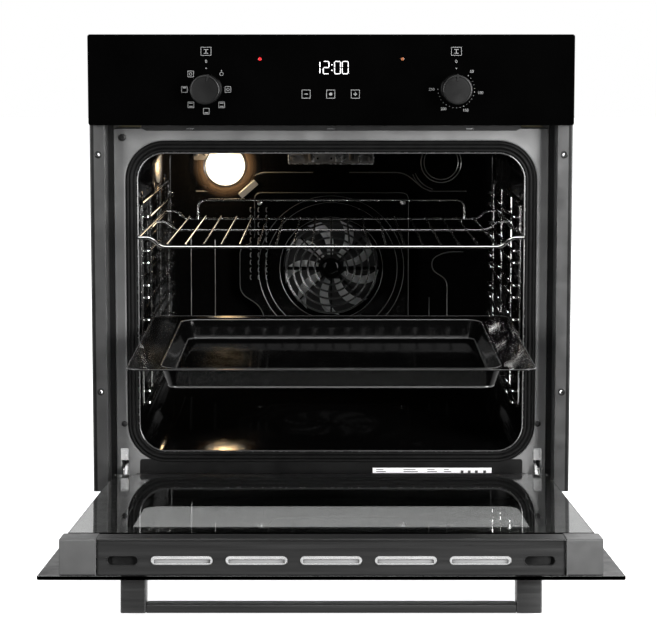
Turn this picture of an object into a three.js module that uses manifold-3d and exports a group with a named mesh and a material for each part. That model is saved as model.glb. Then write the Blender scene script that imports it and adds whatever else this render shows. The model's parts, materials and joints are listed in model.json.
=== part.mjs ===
// Built-in wall oven, door open, wire rack and deep tray pulled part way out.
// Millimetres, +Z up, front towards -Y. Inside this file a depth is measured back from the face of
// the control panel; the whole model is then moved so that the origin lies under the base panel.
import * as THREE from 'three';
import { mergeVertices } from 'three/addons/utils/BufferGeometryUtils.js';
import Module from 'manifold-3d';

const wasm = await Module();
wasm.setup();

// ---- driving dimensions ----
const WIDTH = 595;
const HEIGHT = 595;
const PANEL_HEIGHT = 111;
const BODY_HALF = 278;
const BODY_HEIGHT = 588;
const CABINET_FACE = 22;          // depth of the face that the trims close against
const BODY_BACK = CABINET_FACE + 546;
const ORIGIN_DEPTH = 300;         // depth of the row's origin
const SHEET = 1.2;
const GLASS = 4;
const GAP = 0.4;

const PLATE_FRONT = 44.5;         // front plate around the cavity mouth
const PLATE_HALF = 272;
const PLATE_BOTTOM = 24;
const PLATE_TOP = 478;
const MOUTH = { x: 243.6, low: 67.6, high: 448.4, radius: 35 };
const GASKET_BAND = 13.6;
const CAVITY_BACK = 470;

const DOOR_PIVOT = { y: 24, z: 29 };
const DOOR_OPEN_DEG = 85;
const DOOR_LOW = 10;
const DOOR_HIGH = 480;
const DOOR_THICK = 41.5;
const DOOR_INNER_HALF = 271;
const CAP = { inner: 237.4, outer: 274.8, length: 34 };
const HANDLE = { half: 215, top: 460, bar: 20, thick: 8.8, reach: 38, post: 26 };
const AIR_SLOTS = { near: 14, far: 23.6, pitch: 75.6, half: 31.5, endAt: 211, endHalf: 15.5 };

const FAN = { z: 252, grille: 76, impeller: 66 };
const LAMP = { x: -158, z: 403, radius: 29.5 };
const GRILL = { z: 441, front: 236, outer: 188, inner: 150, radius: 3.3, wall: 414 };
const KNOB = { x: 152.8, z: 528, radius: 18.2, depth: 27 };
const LIGHT = { x: 87, z: 565 };

const LADDER = { wall: 240.5, guide: 230.5, front: 68, back: 438, low: 119, high: 382, wire: 1.8 };
const GUIDE_PAIRS = [[349, 365], [306, 321.5], [261.6, 277], [217, 233], [171, 186.5], [126, 141]];
const RACK = { front: -80, second: 116, back: 269, rail: 228.6, straight: 201.7, z: 343, wing: 354.2 };
const TRAY = { front: -215, back: 120, half: 231, z: 220.1, tilt: 1.75, depth: 25, sheet: 1.2 };

// ---- materials ----
const finish = (color, roughness, metalness) =>
  new THREE.MeshStandardMaterial({ color, roughness, metalness });
const zinc = finish(0x9a9c9e, 0.45, 0.9);
const darkPaint = finish(0x2b2c2e, 0.4, 0.6);
const blackGlass = finish(0x050506, 0.05, 0.0);
const clearGlass = finish(0x1b1f20, 0.05, 0.0);
const enamel = finish(0x0b0b0c, 0.15, 0.0);
const rubber = finish(0x242526, 0.75, 0.0);
const greyPlastic = finish(0x8a8b8d, 0.5, 0.1);
const blackPlastic = finish(0x151516, 0.5, 0.0);
const chrome = finish(0xd5d7d9, 0.15, 1.0);
const alloy = finish(0x5c5d60, 0.35, 0.8);
const wool = finish(0xd8cfae, 0.95, 0.0);
const ceramic = finish(0xe8e4da, 0.5, 0.0);
const lampGlass = finish(0xffe9c0, 0.2, 0.0);
const redLens = finish(0xff2010, 0.3, 0.0);
const amberLens = finish(0xff8020, 0.3, 0.0);
const labelFilm = finish(0xd0d2d4, 0.5, 0.0);

// ---- geometry helpers ----
function solid(geometry) {
  const bare = geometry.clone();
  bare.deleteAttribute('normal');
  bare.deleteAttribute('uv');
  const merged = mergeVertices(bare, 1e-4);
  return new wasm.Manifold(new wasm.Mesh({
    numProp: 3,
    vertProperties: new Float32Array(merged.attributes.position.array),
    triVerts: new Uint32Array(merged.index.array),
  }));
}

function geometryOf(manifold) {
  const mesh = manifold.getMesh();
  const geometry = new THREE.BufferGeometry();
  geometry.setAttribute('position', new THREE.BufferAttribute(mesh.vertProperties, 3));
  geometry.setIndex(new THREE.BufferAttribute(mesh.triVerts, 1));
  geometry.computeVertexNormals();
  return geometry;
}

function combine(base, added, removed = []) {
  let body = solid(base);
  for (const piece of added) body = body.add(solid(piece));
  for (const piece of removed) body = body.subtract(solid(piece));
  return geometryOf(body);
}

const cut = (base, ...removed) => combine(base, [], removed);
const join = (base, ...added) => combine(base, added);

function block(x0, x1, y0, y1, z0, z1) {
  const geometry = new THREE.BoxGeometry(x1 - x0, y1 - y0, z1 - z0);
  return geometry.translate((x0 + x1) / 2, (y0 + y1) / 2, (z0 + z1) / 2);
}

// an outline drawn in X and Z, made solid from depth y0 to depth y1
function upright(outline, y0, y1, curveSegments = 3) {
  const depth = y1 - y0;
  const geometry = new THREE.ExtrudeGeometry(outline, { depth, bevelEnabled: false, curveSegments });
  return geometry.rotateX(Math.PI / 2).translate(0, y1, 0);
}

// an outline drawn in Y and Z, made solid from x0 to x1
function across(outline, x0, x1, curveSegments = 3) {
  const depth = x1 - x0;
  const geometry = new THREE.ExtrudeGeometry(outline, { depth, bevelEnabled: false, curveSegments });
  const turn = new THREE.Matrix4().makeBasis(
    new THREE.Vector3(0, 1, 0), new THREE.Vector3(0, 0, 1), new THREE.Vector3(1, 0, 0));
  return geometry.applyMatrix4(turn).translate(x0, 0, 0);
}

// an outline drawn in X and Y, made solid from z0 to z1
function column(outline, z0, z1, curveSegments = 3) {
  const depth = z1 - z0;
  const geometry = new THREE.ExtrudeGeometry(outline, { depth, bevelEnabled: false, curveSegments });
  return geometry.translate(0, 0, z0);
}

function polygon(points) {
  return new THREE.Shape(points.map(([a, b]) => new THREE.Vector2(a, b)));
}

function roundedOutline(x0, x1, z0, z1, radius, target = new THREE.Shape()) {
  target.moveTo(x0 + radius, z0);
  target.lineTo(x1 - radius, z0);
  target.absarc(x1 - radius, z0 + radius, radius, -Math.PI / 2, 0);
  target.lineTo(x1, z1 - radius);
  target.absarc(x1 - radius, z1 - radius, radius, 0, Math.PI / 2);
  target.lineTo(x0 + radius, z1);
  target.absarc(x0 + radius, z1 - radius, radius, Math.PI / 2, Math.PI);
  target.lineTo(x0, z0 + radius);
  target.absarc(x0 + radius, z0 + radius, radius, Math.PI, 1.5 * Math.PI);
  return target;
}

function cylinderY(radius, y0, y1, x, z, sides = 24) {
  return new THREE.CylinderGeometry(radius, radius, y1 - y0, sides)
    .translate(0, (y0 + y1) / 2, 0).translate(x, 0, z);
}

function cylinderX(radius, x0, x1, y, z, sides = 24) {
  return new THREE.CylinderGeometry(radius, radius, x1 - x0, sides)
    .rotateZ(Math.PI / 2).translate((x0 + x1) / 2, y, z);
}

// a straight wire between two points, reaching one radius past each
function wire(from, to, radius, sides = 4) {
  const a = new THREE.Vector3(...from);
  const b = new THREE.Vector3(...to);
  const along = b.clone().sub(a);
  const geometry = new THREE.CylinderGeometry(radius, radius, along.length() + 2 * radius, sides);
  const turn = new THREE.Quaternion()
    .setFromUnitVectors(new THREE.Vector3(0, 1, 0), along.normalize());
  return geometry.applyQuaternion(turn).translate(...a.add(b).multiplyScalar(0.5).toArray());
}

// a wire for each stretch of a route
function bentWire(points, radius, sides = 4) {
  return points.slice(1).map((point, i) => wire(points[i], point, radius, sides));
}

function wireFrame(wires) {
  let body = solid(wires[0]);
  for (const piece of wires.slice(1)) body = body.add(solid(piece));
  return geometryOf(body);
}

function place(group, name, geometry, material) {
  const mesh = new THREE.Mesh(geometry, material);
  mesh.name = name;
  group.add(mesh);
  return mesh;
}

const SIDES = [['left', -1], ['right', 1]];
const between = (side, a, b) => (side < 0 ? [-b, -a] : [a, b]);

// ---- outer body ----
function addBody(group) {
  const inner = BODY_HALF - SHEET;
  const top = BODY_HEIGHT;
  for (const [name, side] of SIDES) {
    const panel = column(polygon([
      [side * 273, 46.5], [side * BODY_HALF, 46.5], [side * BODY_HALF, BODY_BACK - 2],
      [side * inner, BODY_BACK - 2], [side * inner, 47.7], [side * 273, 47.7],
    ]), 0, top);
    const slots = [];
    for (let i = 0; i < 6; i += 1) {
      slots.push(block(...between(side, inner - 1, BODY_HALF + 1), 400 + i * 20, 408 + i * 20, 500, 550));
    }
    place(group, `side_panel_${name}`, cut(panel, ...slots), zinc);
  }
  const half = inner - GAP;
  place(group, 'base_panel', across(polygon([
    [52, 0], [BODY_BACK - 2, 0], [BODY_BACK - 2, 15], [BODY_BACK - 2 - SHEET, 15],
    [BODY_BACK - 2 - SHEET, SHEET], [52 + SHEET, SHEET], [52 + SHEET, 18], [52, 18],
  ]), -half, half), zinc);
  const backVents = [];
  for (let i = 0; i < 12; i += 1) {
    backVents.push(block(-165 + i * 30, -150 + i * 30, 560, 575, 520, 560));
  }
  place(group, 'rear_panel', cut(
    block(-half, half, BODY_BACK - 1.6, BODY_BACK, 0, top), ...backVents,
    cylinderY(11, 560, 575, 215, 480, 16)), zinc);
  const topVents = [];
  for (let i = 0; i < 10; i += 1) {
    topVents.push(block(-140 + i * 30, -124 + i * 30, 380, 440, 580, 595));
  }
  place(group, 'top_cover', cut(
    block(-half, half, 52, BODY_BACK - 2, top - SHEET, top), ...topVents), zinc);
}

// ---- face of the body around the cavity mouth ----
function addFace(group) {
  const back = PLATE_FRONT + SHEET;
  const outline = roundedOutline(-PLATE_HALF, PLATE_HALF, PLATE_BOTTOM, PLATE_TOP, 1);
  const hole = GASKET_BAND + 0.6;
  outline.holes.push(roundedOutline(-MOUTH.x - hole, MOUTH.x + hole, MOUTH.low - hole,
    MOUTH.high + hole, MOUTH.radius + hole, new THREE.Path()));
  const edges = [];
  const slots = [];
  for (const [, side] of SIDES) {
    edges.push(block(...between(side, PLATE_HALF - SHEET, PLATE_HALF), back - 0.5, 60, 78, PLATE_TOP));
    slots.push(block(...between(side, 257, 267.4), 40, 50, 33, 72));
  }
  place(group, 'front_frame', combine(upright(outline, PLATE_FRONT, back, 5), edges, slots), darkPaint);

  const seal = roundedOutline(-MOUTH.x - GASKET_BAND, MOUTH.x + GASKET_BAND, MOUTH.low - GASKET_BAND,
    MOUTH.high + GASKET_BAND, MOUTH.radius + GASKET_BAND);
  seal.holes.push(roundedOutline(-MOUTH.x, MOUTH.x, MOUTH.low, MOUTH.high, MOUTH.radius, new THREE.Path()));
  place(group, 'cavity_gasket', upright(seal, DOOR_THICK + GAP, 45.9, 5), rubber);

  for (const [name, side] of SIDES) {
    const trim = column(polygon([
      [297.5, 10], [297.5, CABINET_FACE], [288, CABINET_FACE], [288, CABINET_FACE - SHEET],
      [296.3, CABINET_FACE - SHEET], [296.3, 11.2], [280.5, 11.2], [280.5, 46], [279.3, 46], [279.3, 10],
    ].map(([x, y]) => [side * x, y])), 24.6, 590);
    const holes = [151.2, 447.5].map((z) => cylinderY(2.25, 8, 24, side * 287.3, z, 12));
    place(group, `side_trim_${name}`, cut(trim, ...holes), darkPaint);
  }

  const strip = across(polygon([
    [42, 475.5], [44.1, 475.5], [44.1, 478.4], [70, 478.4], [70, 482], [42, 482],
  ]), -237, 237);
  const bevels = SIDES.map(([, side]) => upright(polygon(
    [[side * 228, 474], [side * 240, 474], [side * 240, 480]]), 40, 72));
  place(group, 'air_deflector', cut(strip, ...bevels), blackPlastic);

  const head = cylinderY(4.5, 42, PLATE_FRONT - 0.3, -261.3, 467, 16);
  place(group, 'frame_screw', cut(head,
    block(-264.3, -258.3, 41, 43, 466.4, 467.6), block(-261.9, -260.7, 41, 43, 464, 470)), zinc);
  for (const [name, side] of SIDES) {
    place(group, `frame_rivet_${name}`,
      cylinderY(3.6, 42, PLATE_FRONT - 0.3, side * 262, 103.5, 12), darkPaint);
  }
  place(group, 'rating_label', block(52.7, 204, PLATE_FRONT - 0.6, PLATE_FRONT - 0.3, 36.7, 46.8), labelFilm);
}

// ---- cavity, insulation and what is fixed to the cavity ----
function addCavity(group) {
  const wall = SHEET;
  const mouth = (grow) => [-MOUTH.x - grow, MOUTH.x + grow, MOUTH.low - grow, MOUTH.high + grow];
  const flange = roundedOutline(...mouth(18), MOUTH.radius + 18);
  flange.holes.push(roundedOutline(...mouth(0), MOUTH.radius, new THREE.Path()));
  const tunnel = roundedOutline(...mouth(wall), MOUTH.radius + wall);
  tunnel.holes.push(roundedOutline(...mouth(0), MOUTH.radius, new THREE.Path()));
  const backWall = upright(roundedOutline(...mouth(wall), MOUTH.radius + wall),
    CAVITY_BACK, CAVITY_BACK + wall);
  place(group, 'cavity_liner', combine(upright(flange, 46.3, 46.3 + wall, 4), [
    upright(tunnel, 46.6, CAVITY_BACK + 0.5), backWall], [
    cylinderY(27, 460, 480, LAMP.x, LAMP.z),
    cylinderY(8, 460, 480, 0, FAN.z, 16),
    block(-52, 52, 460, 480, 409, 419)]), enamel);

  const notches = SIDES.map(([, side]) => block(...between(side, 253, 275), 60, 112, 26, 80));
  place(group, 'insulation', cut(block(-PLATE_HALF, PLATE_HALF, 62, 500, 28, 478),
    block(-248, 248, 60, 474, 52, 456),
    cylinderY(34, 470, 510, LAMP.x, LAMP.z), cylinderY(14, 470, 510, 0, FAN.z, 16),
    block(-55, 55, 470, 510, 405, 423), block(-62, -28, 470, 510, 40, 66), ...notches), wool);

  const cover = roundedOutline(-118, 118, 140, 362, 18);
  const grille = [];
  for (let ring = 0; ring < 4; ring += 1) {
    const outer = FAN.grille - ring * 15;
    for (let part = 0; part < 4; part += 1) {
      const start = part * Math.PI / 2 + 0.14;
      const end = (part + 1) * Math.PI / 2 - 0.14;
      const slot = new THREE.Shape();
      slot.absarc(0, FAN.z, outer, start, end, false);
      slot.absarc(0, FAN.z, outer - 9, end, start, true);
      grille.push(upright(slot, 440, 452, 3));
    }
  }
  const coverBack = CAVITY_BACK - GAP;
  place(group, 'fan_cover', cut(upright(cover, 446, coverBack),
    upright(roundedOutline(-116.8, 116.8, 141.2, 360.8, 16.8), 447.2, coverBack + 1), ...grille), enamel);

  const blades = [];
  for (let i = 0; i < 10; i += 1) {
    blades.push(new THREE.BoxGeometry(2, 13.4, 44).translate(0, 458, 40)
      .rotateY(i * Math.PI / 5).translate(0, 0, FAN.z));
  }
  place(group, 'fan_impeller', join(cylinderY(FAN.impeller, 464.4, 466, 0, FAN.z, 30),
    cylinderY(12, 450, 465, 0, FAN.z, 16), cylinderY(4, 460, 515, 0, FAN.z, 12), ...blades), zinc);
  place(group, 'fan_motor', combine(block(-62, 62, 500.5, 502.5, FAN.z - 62, FAN.z + 62),
    [cylinderY(36, 502, 548, 0, FAN.z, 24)], [cylinderY(4.6, 495, 530, 0, FAN.z, 16)]), zinc);

  place(group, 'lamp_lens', new THREE.LatheGeometry([[0, 457], [12, 458], [22, 461], [28, 465.5],
    [LAMP.radius, 469.6], [0, 469.6]].map(([r, y]) => new THREE.Vector2(r, y)), 24)
    .translate(LAMP.x, 0, LAMP.z), lampGlass);
  place(group, 'lamp_housing', join(cylinderY(25.5, 470, 496, LAMP.x, LAMP.z),
    cylinderY(14, 495, 520, LAMP.x, LAMP.z, 16)), ceramic);
}

function addElements(group) {
  const { z, front, outer, inner, radius, wall } = GRILL;
  const second = front + 36;
  const halfLoop = (side) => [[side * 30, 480, wall], [side * 30, 452, wall], [side * 30, 440, z],
    [side * outer, 440, z], [side * outer, front, z]];
  const loop = [[-inner, 404, z], [-inner, second, z], [inner, second, z], [inner, 404, z], [-inner, 404, z]];
  const tubes = [...bentWire(halfLoop(-1), radius), ...bentWire(halfLoop(1), radius),
    wire([-outer, front, z], [outer, front, z], radius), ...bentWire(loop, radius),
    wire([0, front, z], [0, second, z], 2)];
  place(group, 'grill_element', join(wireFrame(tubes),
    block(-64, 64, 467.4, CAVITY_BACK - GAP, 405.5, 422.5)), zinc);

  const low = 59.5;
  place(group, 'bottom_element', wireFrame([
    ...bentWire([[-40, 520, low], [-40, 420, low], [-190, 420, low], [-190, 120, low], [190, 120, low],
      [190, 420, low], [80, 420, low], [80, 200, low], [-50, 200, low], [-50, 520, low]], 3.2)]), zinc);
}

function addLadder(group, name, side) {
  const { wall, guide, front, back, low, high } = LADDER;
  const wires = [];
  for (const y of [front, 180, 312, back]) {
    wires.push(wire([side * wall, y, low], [side * wall, y, high], LADDER.wire));
  }
  for (const z of [low, high]) {
    wires.push(wire([side * wall, front, z], [side * wall, back, z], LADDER.wire));
  }
  for (const z of GUIDE_PAIRS.flat()) {
    wires.push(...bentWire([[side * wall, front, z], [side * guide, front, z],
      [side * guide, back, z], [side * wall, back, z]], LADDER.wire));
  }
  place(group, `side_ladder_${name}`, wireFrame(wires), chrome);
}

// ---- control panel ----
function addControlPanel(group) {
  const low = HEIGHT - PANEL_HEIGHT;
  const face = roundedOutline(-WIDTH / 2, WIDTH / 2, low, HEIGHT, 4);
  for (const side of [-1, 1]) {
    face.holes.push(new THREE.Path().absarc(side * KNOB.x, KNOB.z, 5.2, 0, 2 * Math.PI, true));
  }
  place(group, 'panel_glass', upright(face, 0, GLASS, 5), blackGlass);

  const carrier = roundedOutline(-295, 295, low + 2, HEIGHT - 2, 3);
  place(group, 'panel_carrier', combine(upright(carrier, GLASS + GAP, 9.4),
    [block(-275, 275, 9, 40, low + 4, HEIGHT - 8)],
    [block(-272, 272, 8, 41, low + 6.5, HEIGHT - 10.5),
      ...[-1, 1].map((side) => cylinderY(6.5, 4, 10, side * KNOB.x, KNOB.z, 16)),
      block(-52, 52, 4, 10, 512, 578),
      ...[-1, 1].map((side) => cylinderY(5.4, 4, 10, side * LIGHT.x, LIGHT.z, 12))]), blackPlastic);
  place(group, 'display_module', join(block(-50, 50, GLASS + GAP, 12, 514, 576),
    block(-62, 62, 11, 13, 508, 580)), blackPlastic);
  const lensAt = (x) => cylinderY(4.4, GLASS + GAP, 9.5, x, LIGHT.z, 12);
  place(group, 'power_light', lensAt(-LIGHT.x), redLens);
  place(group, 'heating_light', lensAt(LIGHT.x), amberLens);
  SIDES.forEach(([, side], i) => {
    const x = side * KNOB.x;
    const z = KNOB.z;
    place(group, ['selector_switch', 'thermostat'][i], join(block(x - 19, x + 19, 12, 46, z - 19, z + 19),
      cylinderY(3, -9, 13, x, z, 12)), greyPlastic);
    place(group, ['knob_function', 'knob_temperature'][i], combine(
      cylinderY(KNOB.radius - 0.8, -KNOB.depth, -0.6, x, z, 36),
      [cylinderY(KNOB.radius, -KNOB.depth + 2, -4, x, z, 36),
        block(x - 1.6, x + 1.6, -KNOB.depth - 0.8, -4, z + 4, z + KNOB.radius + 1)],
      [cylinderY(3.5, -12, 1, x, z, 16)]), darkPaint);
  });
}

// ---- cooling air and supply ----
function addServices(group) {
  const x = 95;
  const scroll = new THREE.Shape();
  scroll.moveTo(120, 481.5);
  scroll.lineTo(205, 481.5);
  scroll.absarc(205, 519, 37.5, -Math.PI / 2, Math.PI * 0.75, false);
  scroll.lineTo(120, 508);
  place(group, 'blower_housing', cut(across(scroll, -x, x, 6),
    cylinderX(31, -x + 3, x - 3, 205, 519, 24), block(-x + 3, x - 3, 110, 200, 484, 503),
    cylinderX(20, -x - 1, x + 1, 205, 519, 20)), zinc);
  const vanes = [];
  for (let i = 0; i < 12; i += 1) {
    vanes.push(new THREE.BoxGeometry(2 * x - 10, 1.6, 8).translate(0, 0, 24)
      .rotateX(i * Math.PI / 6).translate(0, 205, 519));
  }
  place(group, 'blower_rotor', join(cylinderX(28.5, -x + 4, -x + 6, 205, 519),
    cylinderX(28.5, x - 6, x - 4, 205, 519), cylinderX(28.5, -1, 1, 205, 519),
    cylinderX(3, -x + 3, x + 12, 205, 519, 12), ...vanes), zinc);
  place(group, 'blower_motor', cut(join(block(x + 3, x + 28, 180, 230, 494, 544),
    block(x + 5, x + 26, 190, 220, 480, 495)), cylinderX(3.6, x, x + 20, 205, 519, 16)), zinc);
  place(group, 'terminal_block', join(block(195, 235, 540, 564, 496, 520),
    block(199, 231, 530, 541, 500, 516)), blackPlastic);
}

// ---- door hinges ----
function addHinges(group) {
  const { y, z } = DOOR_PIVOT;
  for (const [name, side] of SIDES) {
    const eye = cylinderX(7.5, ...between(side, 258, 261), y, z, 20);
    const arm = across(polygon([
      [y - 2, z + 7.3], [38, 50.5], [76, 50.5], [76, 38], [44, 38], [y + 3, z - 6.9],
    ]), ...between(side, 258, 261));
    place(group, `hinge_arm_${name}`, combine(eye, [arm],
      [cylinderX(3.4, ...between(side, 257, 262), y, z, 16),
        cylinderX(1.9, ...between(side, 257, 262), 36, 46, 12)]), zinc);
    place(group, `hinge_receiver_${name}`, cut(
      block(...between(side, 255.5, 268.5), 46.2, 100, 30, 76),
      block(...between(side, 257, 267), 45, 98, 34, 56)), zinc);
    const lever = across(polygon([[33, 26.5], [39, 26.5], [40, 46], [38.5, 49], [33.5, 49], [32, 46]]),
      ...between(side, 261.6, 263.2));
    place(group, `hinge_latch_${name}`, join(lever,
      cylinderX(1.6, ...between(side, 257.4, 262.5), 36, 46, 12)), chrome);
  }
}

// ---- door, drawn closed and then turned open about its pivot ----
function addDoor(door) {
  place(door, 'door_outer_glass', upright(
    roundedOutline(-WIDTH / 2, WIDTH / 2, DOOR_LOW, DOOR_HIGH, 4), 0, GLASS), blackGlass);
  place(door, 'door_middle_glass', upright(roundedOutline(-232, 232, 66, 440, 4), 19, 22), clearGlass);
  place(door, 'door_inner_glass', upright(
    roundedOutline(-DOOR_INNER_HALF, DOOR_INNER_HALF, 52, 445, 3),
    DOOR_THICK - GLASS, DOOR_THICK), clearGlass);

  const back = DOOR_THICK;
  const capLow = DOOR_HIGH - CAP.length;
  const profileHalf = CAP.inner - GAP;
  const { near, far, pitch, half, endAt, endHalf } = AIR_SLOTS;
  const vents = [-2, -1, 0, 1, 2].map((i) => [i * pitch, half]);
  vents.push([-endAt, endHalf], [endAt, endHalf]);
  const channel = across(polygon([
    [GLASS + GAP, 452], [GLASS + GAP, 476], [back - 2, 476], [back - 2, 479], [back, 479], [back, 452],
    [back - 1.6, 452], [back - 1.6, 474.4], [GLASS + GAP + 1.6, 474.4], [GLASS + GAP + 1.6, 452],
  ]), -profileHalf, profileHalf);
  place(door, 'door_top_profile', cut(channel,
    ...vents.map(([x, reach]) => block(x - reach, x + reach, near, far, 470, 480))), darkPaint);
  const { y, z } = DOOR_PIVOT;
  for (const [name, side] of SIDES) {
    place(door, `door_cap_${name}`, across(roundedOutline(GLASS + GAP, back, capLow, 479, 2),
      ...between(side, CAP.inner, CAP.outer)), greyPlastic);
    place(door, `door_side_profile_${name}`, column(polygon([
      [265, GLASS + GAP], [271, GLASS + GAP], [271, back - GLASS - GAP], [265, back - GLASS - GAP],
      [265, back - GLASS - GAP - 2], [269, back - GLASS - GAP - 2], [269, GLASS + GAP + 2],
      [265, GLASS + GAP + 2],
    ].map(([x, y]) => [side * x, y])), 58, capLow - GAP), darkPaint);
    const shell = across(roundedOutline(7, 35, z - 9, 190, 4), ...between(side, 246, 257));
    place(door, `door_hinge_${name}`, join(shell,
      cylinderX(3, ...between(side, 256, 261.3), y, z, 16)), zinc);
    const postX = between(side, HANDLE.half - HANDLE.post, HANDLE.half);
    place(door, `handle_post_${name}`, block(...postX, -HANDLE.reach, -GAP,
      HANDLE.top - HANDLE.bar, HANDLE.top), darkPaint);
  }
  place(door, 'door_bottom_profile', across(polygon([
    [GLASS + GAP, 38], [back - 0.5, 38], [back - 0.5, 50], [back - 2, 50], [back - 2, 39.6],
    [GLASS + GAP, 39.6],
  ]), -244, 244), darkPaint);
  place(door, 'handle_bar', block(-HANDLE.half + HANDLE.post + GAP, HANDLE.half - HANDLE.post - GAP,
    -HANDLE.reach, -HANDLE.reach + HANDLE.thick, HANDLE.top - HANDLE.bar, HANDLE.top), alloy);
}

// ---- what slides in the cavity ----
function addRack(rack) {
  const { front, second, back, rail, straight, z, wing } = RACK;
  const wires = [];
  for (const y of [front, second, back]) {
    wires.push(...bentWire([[-rail, y, wing], [-214, y, wing], [-straight, y, z], [straight, y, z],
      [214, y, wing], [rail, y, wing]], 2.2));
  }
  for (const side of [-1, 1]) {
    wires.push(wire([side * rail, front, wing], [side * rail, back, wing], 2.4));
  }
  wires.push(...bentWire([[-184, back, z], [-184, back, 369], [184, back, 369], [184, back, z]], 2));
  for (let i = -9; i <= 9; i += 1) {
    wires.push(wire([i * 21.7, front, z + 2.4], [i * 21.7, back, z + 2.4], 1.4));
  }
  place(rack, 'wire_rack', wireFrame(wires), chrome);
}

function addTray(tray) {
  const length = TRAY.back - TRAY.front;
  const half = TRAY.half;
  const rim = roundedOutline(-half, half, 0, length, 14);
  const outer = { x: half - 39, low: 12, high: length - 24 };
  const pan = roundedOutline(-outer.x, outer.x, outer.low, outer.high, 16);
  const hollow = roundedOutline(-outer.x + TRAY.sheet, outer.x - TRAY.sheet, outer.low + TRAY.sheet,
    outer.high - TRAY.sheet, 14.8);
  const geometry = combine(column(rim, -TRAY.sheet, 0), [column(pan, -TRAY.depth, -0.5)],
    [column(hollow, -TRAY.depth + TRAY.sheet, 5)]);
  const mesh = place(tray, 'deep_tray', geometry, enamel);
  mesh.position.set(0, TRAY.front, TRAY.z);
  mesh.rotation.x = THREE.MathUtils.degToRad(TRAY.tilt);
}

// ---- assembly ----
const oven = new THREE.Group();
const frame = new THREE.Group();
frame.position.y = -ORIGIN_DEPTH;
oven.add(frame);
addBody(frame);
addFace(frame);
addCavity(frame);
addElements(frame);
for (const [name, side] of SIDES) addLadder(frame, name, side);
addControlPanel(frame);
addServices(frame);
addHinges(frame);
addRack(frame);
addTray(frame);

const hingeLine = new THREE.Group();
hingeLine.position.set(0, DOOR_PIVOT.y, DOOR_PIVOT.z);
hingeLine.rotation.x = THREE.MathUtils.degToRad(DOOR_OPEN_DEG);
frame.add(hingeLine);
const door = new THREE.Group();
door.position.set(0, -DOOR_PIVOT.y, -DOOR_PIVOT.z);
hingeLine.add(door);
addDoor(door);

export default oven;
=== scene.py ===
"""Looks for the built-in wall oven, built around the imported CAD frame. Metres, +Z up, front towards -Y."""
import json
import math

import bmesh
import bpy
from mathutils import Matrix, Vector


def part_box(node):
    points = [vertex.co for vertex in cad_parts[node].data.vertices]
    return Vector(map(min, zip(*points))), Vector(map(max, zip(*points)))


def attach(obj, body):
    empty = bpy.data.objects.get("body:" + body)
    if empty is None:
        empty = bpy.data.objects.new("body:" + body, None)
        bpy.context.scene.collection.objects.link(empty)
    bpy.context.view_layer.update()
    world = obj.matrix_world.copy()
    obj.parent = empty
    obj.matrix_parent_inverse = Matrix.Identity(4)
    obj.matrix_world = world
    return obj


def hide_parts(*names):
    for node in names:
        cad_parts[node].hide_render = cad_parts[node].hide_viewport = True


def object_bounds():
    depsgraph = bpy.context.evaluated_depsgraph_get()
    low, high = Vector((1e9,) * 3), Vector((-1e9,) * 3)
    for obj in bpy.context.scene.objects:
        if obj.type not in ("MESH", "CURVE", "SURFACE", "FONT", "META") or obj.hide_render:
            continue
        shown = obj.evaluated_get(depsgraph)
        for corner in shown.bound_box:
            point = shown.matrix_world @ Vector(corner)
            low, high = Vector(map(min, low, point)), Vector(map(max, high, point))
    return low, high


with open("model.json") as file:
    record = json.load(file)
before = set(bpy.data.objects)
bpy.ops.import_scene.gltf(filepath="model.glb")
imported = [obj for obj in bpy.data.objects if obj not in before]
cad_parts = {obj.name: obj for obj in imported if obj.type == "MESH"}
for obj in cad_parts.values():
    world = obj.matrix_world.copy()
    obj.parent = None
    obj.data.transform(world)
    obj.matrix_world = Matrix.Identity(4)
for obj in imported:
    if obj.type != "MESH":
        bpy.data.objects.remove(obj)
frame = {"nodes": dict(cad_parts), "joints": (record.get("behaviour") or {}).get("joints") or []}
cad_low, cad_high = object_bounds()

MM = 0.001
SIDES = (("left", -1), ("right", 1))
JOINTS = {joint["name"]: joint for joint in frame["joints"]}
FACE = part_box("panel_glass")[0].y
PRINT = 0.07 * MM
SHEET = 1.2 * MM
FORWARD = Vector((0, -1, 0))
BACKWARD = Vector((0, 1, 0))
UP = Vector((0, 0, 1))

# the door is drawn closed and then turned open about its hinge line
HINGE_LINE = Vector(JOINTS["door_hinge"]["pos_m"])
OPENING = math.radians(JOINTS["door_hinge"]["range_deg"][1])
DOOR_OPEN = (Matrix.Translation(HINGE_LINE) @ Matrix.Rotation(OPENING, 4, "X")
             @ Matrix.Translation(-HINGE_LINE))


# ---- drawing helpers ----
def facing_front(u, v, depth):
    return Vector((u, depth, v))


def facing_side(u, v, depth):
    return Vector((depth, u, v))


def facing_up(u, v, depth):
    return Vector((u, v, depth))


def closed_box(node):
    """A door node's lowest and highest corners with the door shut."""
    back = DOOR_OPEN.inverted()
    points = [back @ vertex.co for vertex in frame["nodes"][node].data.vertices]
    low = Vector(min(p[axis] for p in points) for axis in range(3))
    high = Vector(max(p[axis] for p in points) for axis in range(3))
    return low, high


def mm(*points):
    """Points given in millimetres, in metres."""
    return [tuple(value * MM for value in point) for point in points]


def centre_of(node):
    """The middle of a CAD node's box."""
    low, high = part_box(node)
    return (low + high) / 2


def repaint(node, material):
    """Gives a CAD node a finish and leaves its shape alone."""
    data = frame["nodes"][node].data
    data.materials.clear()
    data.materials.append(material)


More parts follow.
